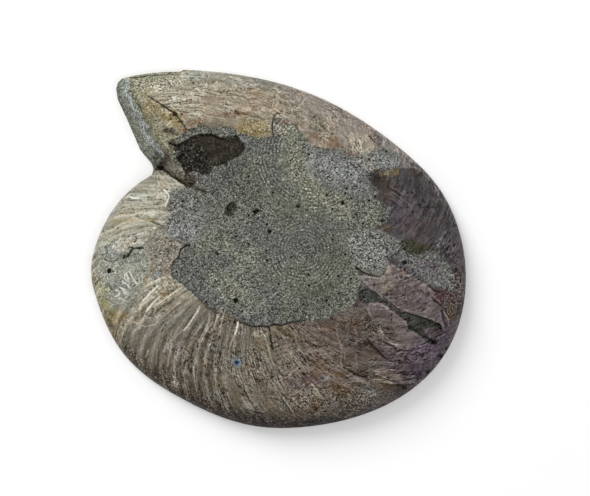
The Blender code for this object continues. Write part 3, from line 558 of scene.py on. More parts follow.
# pale scales of shell left on the flank
SCALES = (
    ((-50.4, 2.9), (-48.2, 3.5), (-45.6, 3.5), (-45.4, 2.7), (-46.3, 1.9), (-47.5, 1), (-48.2, 0),
     (-49.1, -1.1), (-50.7, -1.3), (-52.3, 0), (-52.6, 1.6), (-51.6, 2.5)),
    ((-45.6, 1.8), (-44.4, 2.7), (-43.1, 2.9), (-42.3, 1.9), (-43.1, 1), (-45, 1)),
    ((-42.8, 11.2), (-41.2, 12), (-39.4, 12), (-38.4, 11.1), (-39.3, 10.2), (-41.6, 10)),
    ((-45.6, 16.6), (-43, 17.6), (-41.6, 16.6), (-43.6, 15.6), (-47, 15.8)),
)
ZONES = {
    "ground": (PLATEAU,),
    "hollow": (HOLLOW,),
    "channel": (CHANNEL, OLIVE_PIT),
    "bare": (BARE_PATCH,),
    "olive": (BARE_RIM,),
    "coarse": (COARSE_TOP, COARSE_RIGHT, COARSE_LEFT, BARE_PATCH),
    "grit": (FUZZY_LEFT, UMBER_PATCH, SPECKLE_EDGE, AMBER_LOW, GRIT_LOW, RUST_RIGHT),
    "suture": (SUTURE,),
    "plate": (UPPER_PLATE, LOWER_PLATE),
    "mould": (MOULD,),
    "crest": (CREST_GRIT, OCHRE_GRIT),
    "scale": SCALES,
    "ledge": (LEDGE,),
    "lens": (TAN_LENS,),
}
# soft patches: x, y, half length, half width, angle in degrees, strength.  A table's
# place in the list picks its noise.  The pitted, bold and shade patches change grains or
# lightness, and the others change the hue.
PATCHES = {
    "ochre": (
        (-33.5, 41, 5.4, 2.9, -35, 0.9), (-39.8, 44.5, 3.4, 4.2, -60, 0.6),
        (-7.3, 37.8, 5.2, 2.9, 0, 1), (34.7, 7.3, 3.2, 1.5, 0, 0.3), (15.7, 31.5, 3, 2, -20, 0.2),
        (-35.8, -15.2, 3.2, 2.4, -30, 0.5), (-42.1, -10.4, 0.9, 2.3, 10, 0.9),
        (-51.6, -22, 4.4, 2.4, 25, 1), (-41, 9, 2.2, 0.8, 0, 1), (-47.5, 9, 6, 0.8, 3, 0.6),
        (-7, -32.6, 1.5, 0.5, 0, 0.8), (5, -27, 4, 2, 0, 0.3),
    ),
    "rust": (
        (-15.5, 42.3, 6.2, 1.3, 2, 0.8), (-26.8, 39.6, 3.4, 1.5, 20, 0.8),
        (-30.2, 37.6, 2.6, 0.9, -20, 0.9), (-30, 42.6, 1.6, 1.2, 0, 0.8),
        (11.5, 35.6, 1.9, 1.5, -30, 0.8), (17.6, 33.4, 2.4, 1.8, -35, 0.9),
        (23.6, 29.9, 2, 0.9, 10, 0.7), (1.6, 40, 1.6, 0.8, -20, 0.7), (22.5, -24, 4.4, 2.6, -20, 0.6),
        (15.5, -25.6, 3, 1.4, 0, 0.5), (9.5, -43, 2.6, 1.4, -30, 0.7), (13.9, -30.4, 7.5, 6, 0, 0.35),
        (38.5, -7, 2, 1, -30, 0.6), (-33.5, 41.6, 1, 0.7, 0, 0.8), (-34, -18, 4.5, 2.6, -20, 0.35),
    ),
    "wine": (
        (51.6, -15.3, 5, 2.1, -18, 1), (57, -10.5, 1.4, 3.6, 0, 0.6), (44.5, 8, 5.5, 5, 0, 0.45),
        (28, 7, 2, 2, 0, 0.2), (10, -40.5, 3, 1.4, -20, 0.5),
    ),
    "amber": (
        (19.4, -45.2, 3.8, 2.6, -20, 1), (12.4, -50, 2.4, 3, 0, 1), (15.9, -43.6, 2, 1.6, 0, 0.4),
        (-54.4, -21.6, 2, 2.2, 25, 0.4), (-31, -41.5, 2.8, 1.8, -35, 0.3),
        (19.2, -39.8, 2.4, 1.1, 0, 0.8), (56.6, -11.5, 1.2, 3, 0, 0.5), (55, -19.6, 1.8, 3.4, 0, 0.8),
        (33.5, 7, 2.6, 1.2, -20, 0.4), (-36.6, 28.8, 1.8, 2.2, 0, 0.5), (34, -43.2, 3.6, 1.3, -25, 0.7),
        (-51.6, -23.2, 4.4, 2.2, 25, 0.3),
    ),
    "umber": (
        (-53.4, -24.4, 1.5, 3, 35, 0.7), (-31, 40, 2, 1, -30, 0.7), (23.5, -25.5, 4.5, 3.2, -30, 0.6),
        (33.4, 20.3, 4, 2, -30, 1), (33.5, 16.5, 2.8, 2.4, 0, 0.6), (33.8, -26, 4, 2.6, -40, 0.6),
        (57, -18, 1.2, 4.6, 8, 0.6), (-10.5, -45.5, 2.6, 1.8, 0, 0.4), (11, -52, 6, 1.2, 5, 0.3),
        (31.2, -31.8, 4.2, 1.3, -40, 1), (29.8, -24.6, 3.8, 1.7, -50, 0.9), (1.5, -48.5, 3, 3, 0, 0.35),
        (-23, -38.5, 0.9, 3.2, 5, 0.5), (38.8, -44.6, 2.6, 0.9, -30, 1), (-47, -21.5, 2.4, 2, 0, 0.3),
        (-34.6, 29.4, 1.2, 3.4, 20, 0.6), (-31.2, 30, 1.8, 4.2, 20, 1), (-27, 22, 3.4, 1.4, -25, 0.9),
        (-34, 36.9, 3.6, 1.4, -10, 0.8), (-32.4, 24.6, 3, 1, -35, 0.4),
        (-28.4, 20.4, 2.4, 1.2, -35, 0.9),
    ),
    # cream paler shell, and painted light on shaded relief between the lower left ribs and on the lower
    # left rim
    "cream_and_painted_light": (
        (25.5, 34, 4.4, 3, -35, 0.9), (-16.6, -20.8, 3.4, 2.2, -30, 0.35),
        (32.6, -41.8, 4.6, 1.8, -15, 0.7), (30.8, 24.6, 1.8, 1.2, 0, 0.7),
        (-22.2, -27, 1.6, 4, -15, 0.5), (29.3, 32.2, 3.2, 2.2, -50, 0.7), (-1, 48.7, 3.5, 2.5, 0, 0.9),
        (-37.6, 48, 3, 3, 0, 0.8), (-44.5, -22.5, 4, 1.8, 20, 0.8), (-27.9, 17.2, 3, 1.2, -10, 0.3),
        (34.4, -10.4, 2.6, 5, 0, 0.45), (-2.6, 39, 2.6, 2.6, 0, 0.6), (27.5, 27.8, 7, 2.8, -15, 0.4),
        (-32.6, -42.4, 5, 1.6, -35, 0.5), (-5.1, 44.9, 2.9, 2.6, 0, 0.6),
        (-37.5, 14.5, 2.2, 3.4, 0, 0.7), (-43.5, 3.2, 2.2, 0.9, 0, 0.7), (-47.6, 1.6, 4, 2, 20, 0.8),
        (32.5, -9.5, 4.5, 2, -35, 0.3), (30.5, -20.5, 3.5, 2, -45, 0.2), (1.5, 38.5, 3.5, 3.5, 0, 0.4),
        (-30, -14.8, 1.6, 1, -40, 0.5), (-5.5, -27, 3, 1.4, 0, 0.5), (28.5, 31, 2, 0.8, -30, 0.5),
        (-48.3, -10.5, 3, 4.6, 15, 0.3), (-44, 10.5, 7, 3, 5, 0.35),
    ),
    "blue": (
        (-13, -36, 1.3, 1.6, 0, 0.5), (-52.5, -1.4, 4, 1.6, -15, 0.6), (-49.8, -12, 3.6, 3.4, 0, 0.5),
        (33.5, 27.8, 5.6, 1.8, -5, 0.8), (20, 24.5, 7, 3.5, -35, 0.8), (12.5, 27.6, 4.5, 2.6, -25, 0.9),
        (-38.7, -8.2, 1.8, 1.2, 30, 0.9), (-28.8, 11, 5.5, 6, 0, 0.2), (46.5, -4.5, 3.6, 4.5, -30, 0.2),
        (29.5, -45.5, 3.6, 2.2, -15, 0.6), (15.2, -41.3, 2, 1, 0, 0.8), (53.4, 2.9, 3.2, 2.8, 0, 0.4),
        (-28.5, -15.3, 1.6, 0.8, -45, 0.5), (-30, 5.5, 6, 2.6, 0, 0.9), (51.5, 1.6, 3, 1.4, -20, 0.45),
        (-53, 11.5, 2.4, 1.6, 60, 0.5), (42, 20, 3, 4, 0, 0.25),
    ),
    "violet": (
        (46, -33, 8, 5, 50, 0.85), (47.2, -6.4, 4.4, 3, -30, 0.6), (43.4, -38.8, 5, 2.6, -40, 0.9),
        (52, -25, 4, 6, 20, 0.5), (43, -18, 6, 3, -30, 0.35), (-40.5, -25.5, 3.6, 2.2, 60, 0.4),
        (38, 14, 7, 9, 0, 0.35), (13.8, -41.1, 2.2, 1.2, 0, 0.4), (-33.5, -32, 4, 3, 0, 0.2),
        (8, -42, 7, 4, 0, 0.45), (45, -16.5, 4, 2, -30, 0.5), (36, -35, 7, 4, -40, 0.5),
    ),
    "lime": (
        (-55.9, -15.2, 3.2, 6, 15, 0.6), (-7.5, 37.2, 4.6, 2.4, 0, 0.7),
        (-33.5, 41, 4.6, 1.8, -35, 0.5), (-5, -27.2, 3.6, 1.2, 0, 0.35),
    ),
    "pitted": (
        (-28, 28.5, 6.5, 5.5, 0, 1), (-19, 25.5, 4, 2, 0, 0.6),
    ),
    "bold": (
        (28.5, 0, 9, 8, 0, 1), (-36.5, -1.5, 5.5, 8, 0, 0.5), (-30, 8, 6, 8, 0, 0.4),
        (-39, 52, 9, 3, 5, 0.9), (12, -48, 14, 6, 0, 1), (25, -48.5, 9, 4.5, 10, 1),
        (29.8, -24.6, 4.5, 2.6, -50, 1), (57, -12, 3, 8, 0, 1), (54.6, -19, 2.6, 5, 0, 1),
        (24, 25, 14, 5, 0, 0.6),
    ),
    "moss": (
        (43.2, 0.4, 4.4, 2.4, -12, 1), (7.2, -7.4, 1.4, 0.8, 0, 0.7), (-38.5, 28.5, 2, 2.2, 0, 0.7),
        (-36, 25, 3.4, 0.9, -30, 1), (-31.6, 21.9, 3.4, 0.9, -35, 1), (-46.6, 49.4, 2, 2, 0, 0.4),
        (-40, -20.6, 2, 1.2, -20, 0.4), (48, 0.4, 3, 1.2, -20, 0.6),
    ),
    "sandy": (
        (3.5, 37.5, 4.5, 5, 0, 1), (5, 29, 4, 9, 8, 1), (10.5, 19.5, 4.2, 8, 35, 1),
        (19.5, 13, 3.6, 6, 60, 0.9), (-10, -3, 6, 4.6, 60, 0.6), (-16.2, 0.6, 3.2, 3.2, 0, 0.7),
        (-27.3, 5, 3.2, 2.2, 0, 0.8), (8.5, 34, 3, 3, 0, 0.8), (-15, -12, 8, 5, -30, 0.75),
        (-8, -18, 5, 3.4, -5, 0.5), (29, 10.5, 4, 5, 0, 0.5), (-24, 2, 5, 6, 20, 0.5),
    ),
    "shade": (
        (13, -15, 7.5, 4.2, 12, 1), (-12, 22, 5.5, 8, 20, 0.7), (3, 12, 9, 4, -20, 0.2),
        (4, -20.5, 9, 2.6, 5, 0.5), (16, -1, 5, 6, 0, 0.5), (-29, -3, 2, 5.5, 10, 0.6),
        (-18, 39, 8, 1.4, 0, 0.6), (-46.5, -2.6, 4.5, 1.4, -8, 0.9), (31.5, 21.2, 3.2, 2.4, 40, 1),
        (34.5, 14.8, 3, 1.8, -40, 0.6), (29, -24.5, 4, 4, 0, 0.5),
    ),
}


# ---- plane geometry -----------------------------------------------------------------
def natural_cubic(knots, at):
    """Natural cubic spline through (position, value) knots, read at the positions given."""
    x, y = np.array(knots, float).T
    gap = np.diff(x)
    rows = np.eye(len(x))
    right = np.zeros(len(x))
    for i in range(1, len(x) - 1):
        rows[i, i - 1:i + 2] = gap[i - 1], 2 * (gap[i - 1] + gap[i]), gap[i]
        right[i] = 6 * ((y[i + 1] - y[i]) / gap[i] - (y[i] - y[i - 1]) / gap[i - 1])
    bend = np.linalg.solve(rows, right)
    i = np.clip(np.searchsorted(x, at) - 1, 0, len(gap) - 1)
    left = at - x[i]
    slope = (y[i + 1] - y[i]) / gap[i] - gap[i] * (2 * bend[i] + bend[i + 1]) / 6
    cubic = (bend[i + 1] - bend[i]) / (6 * gap[i])
    return y[i] + left * (slope + left * (bend[i] / 2 + left * cubic))


def smoothstep(low, high, value):
    t = np.clip((value - low) / (high - low), 0.0, 1.0)
    return t * t * (3 - 2 * t)


def window(value, start, full, waning, gone):
    """1 between full and waning, fading to 0 at start and at gone."""
    return smoothstep(start, full, value) * (1 - smoothstep(waning, gone, value))


def resample(points, step, closed=False):
    """Points about one step apart along a polyline."""
    line = np.array(points + points[:1] if closed else points, float)
    length = np.concatenate([[0], np.cumsum(np.hypot(*np.diff(line, axis=0).T))])
    count = max(2, round(length[-1] / step) + 1)
    at = np.linspace(0, length[-1], count)
    found = np.stack([np.interp(at, length, line[:, k]) for k in (0, 1)], axis=1)
    return found[:-1] if closed else found


def inside(points, polygon):
    """True for each point inside the closed polygon."""
    x, y = points.T
    corners = np.array(polygon, float)
    found = np.zeros(len(points), bool)
    for (x0, y0), (x1, y1) in zip(corners, np.roll(corners, -1, axis=0)):
        if y0 == y1:
            continue
        crosses = (y0 > y) != (y1 > y)
        found ^= crosses & (x < x0 + (x1 - x0) * (y - y0) / (y1 - y0))
    return found


def distance(points, line, closed=False):
    """Distance from each point to the polyline."""
    corners = np.array(line, float)
    ends = np.roll(corners, -1, axis=0)
    if not closed:
        corners, ends = corners[:-1], ends[:-1]
    best = np.full(len(points), 1e9)
    for start, end in zip(corners, ends):
        run = end - start
        share = np.clip((points - start) @ run / max(run @ run, 1e-12), 0, 1)
        offset = points - start - share[:, None] * run
        best = np.minimum(best, np.hypot(offset[:, 0], offset[:, 1]))
    return best


def along_line(points, line, reach):
    """Which points lie within reach of a polyline, their distance, and share of its length."""
    corners = np.array(line, float)
    low, high = corners.min(axis=0) - reach, corners.max(axis=0) + reach
    close = np.flatnonzero(np.all((points > low) & (points < high), axis=1))
    lengths = np.hypot(*np.diff(corners, axis=0).T)
    best = np.full(len(close), 1e9)
    along = np.zeros(len(close))
    gone = 0.0
    for start, end, length in zip(corners, corners[1:], lengths):
        run = end - start
        share = np.clip((points[close] - start) @ run / max(run @ run, 1e-12), 0, 1)
        gap = np.hypot(*(points[close] - start - share[:, None] * run).T)
        nearer = gap < best
        best = np.where(nearer, gap, best)
        along = np.where(nearer, (gone + share * length) / lengths.sum(), along)
        gone += length
    return close, best, along


def signed_distance(points, polygon):
    """Distance to the polygon's edge, positive inside it."""
    edge = distance(points, polygon, closed=True)
    return np.where(inside(points, polygon), edge, -edge)


# ---- noise --------------------------------------------------------------------------
def cell_number(x, y, seed):
    """A number between 0 and 1 for each whole-number cell."""
    mixed = (x * 374761393 + y * 668265263 + seed * 974634777) & 0xFFFFFFFF
    mixed = ((mixed ^ (mixed >> 13)) * 1274126177) & 0xFFFFFFFF
    return ((mixed ^ (mixed >> 16)) & 0xFFFFFF) / 0xFFFFFF


def value_noise(points, size, seed):
    """Smooth noise between -1 and 1 with features about one size across."""
    place = points / size + 1000.0
    corner = np.floor(place).astype(np.int64)
    blend = place - corner
    blend = blend * blend * (3 - 2 * blend)
    x, y = corner.T
    low = cell_number(x, y, seed) * (1 - blend[:, 0]) + cell_number(x + 1, y, seed) * blend[:, 0]
    high = (cell_number(x, y + 1, seed) * (1 - blend[:, 0])
            + cell_number(x + 1, y + 1, seed) * blend[:, 0])
    return (low * (1 - blend[:, 1]) + high * blend[:, 1]) * 2 - 1


def rough_noise(points, size, seed, octaves=4):
    """Sum of finer and finer noise, about between -1 and 1."""
    total = np.zeros(len(points))
    for k in range(octaves):
        total += value_noise(points, size / 2 ** k, seed + 17 * k) / 2 ** k
    return total / 1.4


def lumps(points, size, seed):
    """The solid's own smooth unevenness between -1 and 1."""
    return np.array([noise.noise(Vector((x / size, y / size, seed))) for x, y in points])


def ragged(points, amount, size, seed):
    """The points pushed about, so that an edge measured from them is broken and uneven."""
    push = np.stack([rough_noise(points, size, seed), rough_noise(points, size, seed + 5)], axis=1)
    return points + amount * push


# ---- the spiral ---------------------------------------------------------------------
def rim_radius(turn):
    return natural_cubic(RIM, turn)


def rim_point(turn, inset=0.0):
    """Point of the outline at a turn in degrees, moved towards the pole by the inset."""
    bare = SHELL * smoothstep(BARE_RIM_TURN, BARE_RIM_TURN + 0.6, turn)
    radius = rim_radius(turn) - bare - inset
    angle = np.radians(turn + NOTCH_ANGLE)
    return np.stack([POLE[0] + radius * np.cos(angle), POLE[1] + radius * np.sin(angle)], axis=-1)


def whorl_coordinates(points):
    """Turn in degrees, and distance inside the rim, of each point.

    Below the seam a point belongs to the start of the last turn, above it to its end.
    """
    offset = points - np.array(POLE)
    angle = np.degrees(np.arctan2(offset[:, 1], offset[:, 0])) - NOTCH_ANGLE
    older = inside(points, SEAM_FOOT + (POLE, (-70.0, -20.0), (-70.0, SEAM_FOOT[0][1])))
    turn = np.where(older, (angle + 180) % 360 - 180, (angle - 30) % 360 + 30)
    return turn, rim_radius(turn) - np.hypot(offset[:, 0], offset[:, 1])


def flank_height(turn, depth):
    """Height of the whorl's flank: steep at the rim, level at the whorl's widest."""
    top = MOUTH_HEIGHT * THICKENING ** ((turn - 360) / 360)
    share = np.clip(depth / (FLANK_SHARE * rim_radius(turn)), 0, 1)
    steep, round_off = FLANK_POWERS
    return top * (1 - (1 - share) ** steep) ** round_off


def rib_lean(share):
    """Turn in radians by which a sickle rib runs ahead of its root."""
    return RIB_LEAN * (share - RIB_ROOT) + RIB_HOOK_LEAN * np.maximum(share - RIB_HOOK, 0) ** 2


def growth_angle(turn, depth):
    """Turn in radians measured along the growth lines: the same all along one rib."""
    return np.radians(turn) - rib_lean(1 - depth / rim_radius(turn))


def growth(turn, depth):
    """That angle in about millimetres, which is what patterns along the ribs follow."""
    return growth_angle(turn, depth) * GROWTH_SCALE


def rib_wave(turn, depth):
    """The ribs' wave between -1 and 1, faded where the shell is smooth."""
    share = 1 - depth / rim_radius(turn)
    along = NOTCH_RIB_SHARE * window(turn, *NOTCH_RIBS) + window(turn, *FLANK_RIBS)
    across = window(share, RIB_ROOT, RIB_ROOT + 0.1, 0.93, 0.99)
    return along * across * np.cos(growth_angle(turn, depth) * RIBS_PER_TURN)


def strip(points, foot, top):
    """1 on a sloping strip between two lines and 0 off it, and the share of the way up it."""
    member = inside(points, foot + top[::-1]).astype(float)
    low = distance(points, foot)
    return member, low / (low + distance(points, top) + 1e-9)


# ---- what each place is made of -----------------------------------------------------
def lines_depth(points, lines, width_share, tail, seed):
    """How far inside the nearest drawn line each point lies, and that line's strength.

    A line fills this share of its drawn width, and narrows to the tail's share of that.
    """
    wavy = ragged(points, 0.14, 1.3, seed)
    depth = np.full(len(points), -LINE_REACH)
    strength = np.zeros(len(points))
    for half_width, amount, line in lines:
        close, gap, along = along_line(wavy, line, half_width + LINE_REACH)
        core = LINE_LEAST + width_share * half_width * (tail + (1 - tail) * (1 - along) ** 0.8)
        deep = core - gap
        deeper = deep > depth[close]
        depth[close] = np.where(deeper, deep, depth[close])
        strength[close] = np.where(deeper, amount, strength[close])
    return depth, strength


def patches_mask(points, patches, seed):
    """Soft, uneven oval patches, 1 at their strongest."""
    mask = np.zeros(len(points))
    torn = rough_noise(points, 2.2, seed)
    for x, y, half_length, half_width, angle, strength in patches:
        c, s = math.cos(math.radians(angle)), math.sin(math.radians(angle))
        dx, dy = points[:, 0] - x, points[:, 1] - y
        far = np.hypot((dx * c + dy * s) / half_length, (dy * c - dx * s) / half_width)
        mask = np.maximum(mask, strength * (1 - smoothstep(0.45, 1.35, far + 0.45 * torn)))
    return mask


def spots_depth(points, spots):
    """How far inside the nearest spot's edge each point lies, and that spot's strength."""
    torn = rough_noise(points, 0.9, 57)
    depth = np.full(len(points), -LINE_REACH)
    strength = np.zeros(len(points))
    for x, y, radius, amount in spots:
        deep = radius * (0.72 - 0.3 * torn) - np.hypot(points[:, 0] - x, points[:, 1] - y)
        strength = np.where(deep > depth, amount, strength)
        depth = np.maximum(depth, deep)
    return depth, strength


def zone_depth(points, fields):
    """How far inside the nearest field's edge each point lies, negative outside them all."""
    best = np.full(len(points), -ZONE_REACH)
    for field in fields:
        best = np.maximum(best, signed_distance(points, field))
    return np.minimum(best, ZONE_REACH)


def within(deep, soft=0.3):
    """1 inside a zone and 0 outside, given the depth inside its edge."""
    return smoothstep(-soft, soft, deep)


def survey(points):
    """Every number that the relief and the material need, at each point."""
    turn, depth = whorl_coordinates(points)
    uneven = ragged(ragged(points, 0.55, 3.0, 11), 0.28, 0.8, 23)
    found = {"turn": turn, "depth": depth}
    for name, fields in ZONES.items():
        found[name] = zone_depth(uneven, fields)
    for seed, (name, patches) in enumerate(PATCHES.items()):
        found[name] = patches_mask(points, patches, 61 + seed)
    found["pale"], found["pale_amount"] = lines_depth(points, PALE_LINES, 0.32, 0.5, 41)
    line, line_amount = lines_depth(points, DARK_LINES, 0.42, 0.8, 53)
    spot, spot_amount = spots_depth(points, DARK_SPOTS)
    found["dark"] = np.maximum(line, spot)
    found["dark_amount"] = np.where(line > spot, line_amount, spot_amount)
    found["ribs"] = rib_wave(turn, depth)
    x, y, reach = INK_SPOT
    found["ink"] = np.clip(1 - np.hypot(points[:, 0] - x, points[:, 1] - y) / reach, 0, 1)
    found["mouth"], found["mouth_share"] = strip(points, MOUTH_EDGE, MOUTH_CREST)
    found["wall"], found["wall_share"] = strip(points, SEAM_FOOT, WALL_TOP)
    return found


# ---- relief -------------------------------------------------------------------------
def shell_height(points, place, flank, plane, settled):
    """Height of the shell: ribs, growth lines, ledge, bare places, channel and cracks."""
    turn, depth = place["turn"], place["depth"]
    growing = growth(turn, depth)
    lines = value_noise(np.stack([growing, depth * 0.12], axis=1), 0.75, 71)
    lines += value_noise(np.stack([growing * 0.15, depth], axis=1), 0.8, 72)
    shell = flank + RIB_HEIGHT * place["ribs"] + 0.3 * lumps(points, 14, 3.1)
    shell += 0.15 * lumps(points, 5, 7.7) + settled * 0.05 * lines
    shell += settled * 0.10 * rough_noise(points, 2.0, 73)
    shell = np.minimum(shell, plane + SHELL)
    ledge = window(turn, *LEDGE_TURNS)
    shell -= LEDGE_DROP * ledge * np.exp(-distance(points, PLATEAU, closed=True) / 3.0)
    shell -= SHELL * within(np.maximum(place["bare"], place["olive"]))
    shell -= CHANNEL_DEPTH * within(place["channel"])
    for crack in CRACKS:
        close, gap, _ = along_line(ragged(points, 0.2, 1.0, 81), crack, CRACK_HALF_WIDTH)
        shell[close] -= CRACK_DEPTH * (1 - smoothstep(0, CRACK_HALF_WIDTH, gap))
    return shell


def mouth_and_wall(points, place, height, plane, grain):
    """The height with the mouth's broken face and the wall above the seam cut in."""
    x, y = points.T
    share = place["mouth_share"]
    face = MOUTH_HEIGHT * np.interp(share, (0, MOUTH_RIDGE_SHARE, 1), (0, MOUTH_RIDGE_RISE, 0.95))
    chips = np.sin(share * math.pi) * (0.30 * rough_noise(points, 2.4, 95) + 0.10 * grain)
    height = np.where(place["mouth"] > 0, np.minimum(height, face + chips), height)
    older_depth = rim_radius(0.0) - np.hypot(x - POLE[0], y - POLE[1])
    foot = np.minimum(flank_height(np.zeros(len(x)), np.maximum(older_depth, 0)), plane)
    wall = foot + (plane - foot) * smoothstep(0, 1, place["wall_share"]) + 0.12 * grain
    return np.where(place["wall"] > 0, wall, height)


def relief(points, place):
    """Height of the stone's upper side at each point."""
    x, y = points.T
    ground, hollow, coarse, grit = (within(place[name]) for name in ("ground", "hollow", "coarse", "grit"))
    depth = place["depth"]
    flank = flank_height(place["turn"], np.maximum(depth, 0))
    plane = PLANE_HEIGHT + PLANE_SLOPE[0] * x + PLANE_SLOPE[1] * y
    plane -= PLANE_FALL * smoothstep(-22, -33, x) * smoothstep(30, 12, y)
    settled = smoothstep(0.3, 2.5, depth)            # fine relief fades out at the rim

    shell = shell_height(points, place, flank, plane, settled)
    matrix = np.minimum(plane, flank - 0.3 + 2.3 * smoothstep(6, 12, depth))
    matrix += 0.08 * lumps(points, 4, 1.3)
    matrix -= HOLLOW_DEPTH * hollow
    height = shell * (1 - ground) + matrix * ground

    grain = value_noise(points, 0.5, 91) * 0.6 + value_noise(points, 0.9, 92) * 0.4
    rough = SHELL_GRAIN + COARSE_GRAIN * np.maximum(coarse, GRIT_SHARE * grit) + HOLLOW_GRAIN * hollow
    height += settled * rough * grain
    groove = within(place["dark"], 0.25) * place["dark_amount"] * (1 - place["mouth"])
    height -= settled * DARK_LINE_DEPTH * groove
    height += settled * PALE_LINE_RISE * within(place["pale"], 0.25) * place["pale_amount"]
    height = mouth_and_wall(points, place, height, plane, grain)

    for pit_x, pit_y, radius, depth_of_pit in PITS:
        near = np.hypot(x - pit_x, y - pit_y) / radius + 0.15 * grain
        height -= depth_of_pit * (1 - smoothstep(0.35, 1, near))
    return np.maximum(height, EDGE_HEIGHT)


# ---- meshes -------------------------------------------------------------------------
def outline(step, count=900):
    """The sawn face's edge, anticlockwise from the notch, its rim read at count places."""
    rim = rim_point(np.linspace(RIM_START, RIM_END, count))
    return resample(tuple(map(tuple, rim)) + MOUTH_EDGE[1:], step, closed=True)


def middle_of_outline():
    """Middle of the solid's outline, which the row puts at the origin."""
    border = outline(SOLID_OUTLINE_STEP, 400)
    return (border.min(axis=0) + border.max(axis=0)) / 2


def inward(border, gap):
    """The closed anticlockwise outline moved inwards by the gap."""
    run = np.roll(border, -2, axis=0) - np.roll(border, 2, axis=0)
    normal = np.stack([-run[:, 1], run[:, 0]], axis=1)
    normal /= np.hypot(run[:, 0], run[:, 1])[:, None]
    return border + gap * normal


def hexagonal_grid(low, high, step):
    rows = []
    for row, y in enumerate(np.arange(low[1], high[1], step * math.sqrt(3) / 2)):
        x = np.arange(low[0] + (row % 2) * step / 2, high[0], step)
        rows.append(np.stack([x, np.full(len(x), y)], axis=1))
    return np.concatenate(rows)


def sheet(border, rows, step):
    """Triangulated sheet inside the border, with extra rows of points along it."""
    coarse_border = border[::4]
    grid = hexagonal_grid(border.min(axis=0), border.max(axis=0), step)
    grid = grid[inside(grid, coarse_border)]
    margin = max(rows, default=0) + 0.6 * step
    wide = step > 1
    edge_gap = distance(grid, coarse_border if wide else border[::3], closed=True)
    grid = grid[edge_gap > margin]
    points = np.concatenate([border] + [inward(border, row) for row in rows] + [grid])
    links = [(i, (i + 1) % len(border)) for i in range(len(border))]
    made = delaunay_2d_cdt([Vector(p) for p in points], links, [], INSIDE_ONLY, MERGE)
    return np.array([tuple(p) for p in made[0]]), np.array(made[2])


def border_loop(triangles):
    """The sheet's border points in order, anticlockwise."""
    edges = np.concatenate([triangles[:, [0, 1]], triangles[:, [1, 2]], triangles[:, [2, 0]]])
    known = set(map(tuple, edges.tolist()))
    follows = {a: b for a, b in known if (b, a) not in known}
    loop = [min(follows)]
    while follows[loop[-1]] != loop[0]:
        loop.append(follows[loop[-1]])
    return np.array(loop)


def sawn_numbers(points):
    """What the sawn face's material needs: the spiral's phase, and 1 in the body chamber."""
    offset = points - np.array(POLE)
    turn = (np.degrees(np.arctan2(offset[:, 1], offset[:, 0])) - NOTCH_ANGLE) % 360
    phase = 2 * math.pi * np.log(rim_radius(turn)) / WHORL_LOG
    inner = rim_radius(turn) / math.exp(WHORL_LOG)
    last_whorl = smoothstep(-0.8, 0.8, np.hypot(*offset.T) - inner)
    body = last_whorl * smoothstep(-3, 3, turn - BODY_CHAMBER_TURN)
    return {"spiral_cos": np.cos(phase), "spiral_sin": np.sin(phase), "body": body}


def stone_surface():
    """The stone's points in millimetres, its faces, and how many of the faces are the outside."""
    border = outline(FILL_STEP)
    flat, triangles = sheet(border, RIM_ROWS, FILL_STEP)
    loop = border_loop(triangles)
    height = relief(flat, survey(flat))
    height[loop] = EDGE_HEIGHT
    points = [np.column_stack([flat, height])]
    faces = triangles.tolist()

    count = len(loop)
    upper = loop
    for z, tuck in zip(SIDE_HEIGHTS, SIDE_TUCK):
        row = inward(flat[loop], tuck)
        lower = np.arange(count) + sum(len(p) for p in points)
        points.append(np.column_stack([row, np.full(count, z)]))
        ahead_up, ahead_low = np.roll(upper, -1), np.roll(lower, -1)
        faces += np.stack([upper, lower, ahead_low, ahead_up], axis=1).tolist()
        upper = lower
    outside_faces = len(faces)

    base, base_triangles = sheet(row, (), BASE_STEP)
    number = np.concatenate([upper, np.arange(len(base) - count) + sum(len(p) for p in points)])
    points.append(np.column_stack([base[count:], np.zeros(len(base) - count)]))
    faces += number[base_triangles[:, ::-1]].tolist()
    return np.concatenate(points), faces, outside_faces


def add_attributes(mesh, points):
    """Puts the survey's numbers on the mesh for the material to read."""
    place = survey(points) | sawn_numbers(points)
    growing = growth(place["turn"], place["depth"])
    whorl = np.column_stack([growing, place["depth"], np.zeros(len(points))])
    place["turn"] = place["turn"] / 360
    for name, values in place.items():
        layer = mesh.attributes.new(name, "FLOAT", "POINT")
        layer.data.foreach_set("value", values.astype(np.float32))
    layer = mesh.attributes.new("whorl", "FLOAT_VECTOR", "POINT")
    layer.data.foreach_set("vector", whorl.astype(np.float32).ravel())


def build_stone():
    points, faces, outside_faces = stone_surface()
    flat = points[:, :2]
    shift = np.append(middle_of_outline(), 0.0)
    mesh = bpy.data.meshes.new("ammonite_stone")
    mesh.from_pydata(((points - shift) * MM).tolist(), [], faces)
    mesh.polygons.foreach_set("material_index", (np.arange(len(faces)) >= outside_faces).astype(int))
    mesh.shade_smooth()

    add_attributes(mesh, flat)

    stone = bpy.data.objects.new("ammonite_stone", mesh)
    bpy.context.scene.collection.objects.link(stone)
    mesh.materials.append(outside_material())
    mesh.materials.append(sawn_material(shift))
    mesh.update()
    return stone


# ---- materials ----------------------------------------------------------------------
def albedo(red, green, blue):
    """Surface colour, given the stone's colour out of 255 as it looks in the studio light."""
    parts = []
    for value in (red, green, blue):
        share = value / 255
        linear = share / 12.92 if share <= 0.04045 else ((share + 0.055) / 1.055) ** 2.4
        parts.append(max(linear - GLOSS, DARKEST) / STUDIO_LIGHT)
    return (*parts, 1.0)


def as_colour(value):
    """A stone colour out of 255 as its albedo, and a socket or an albedo as it is."""
    return albedo(*value) if isinstance(value, tuple) and len(value) == 3 else value


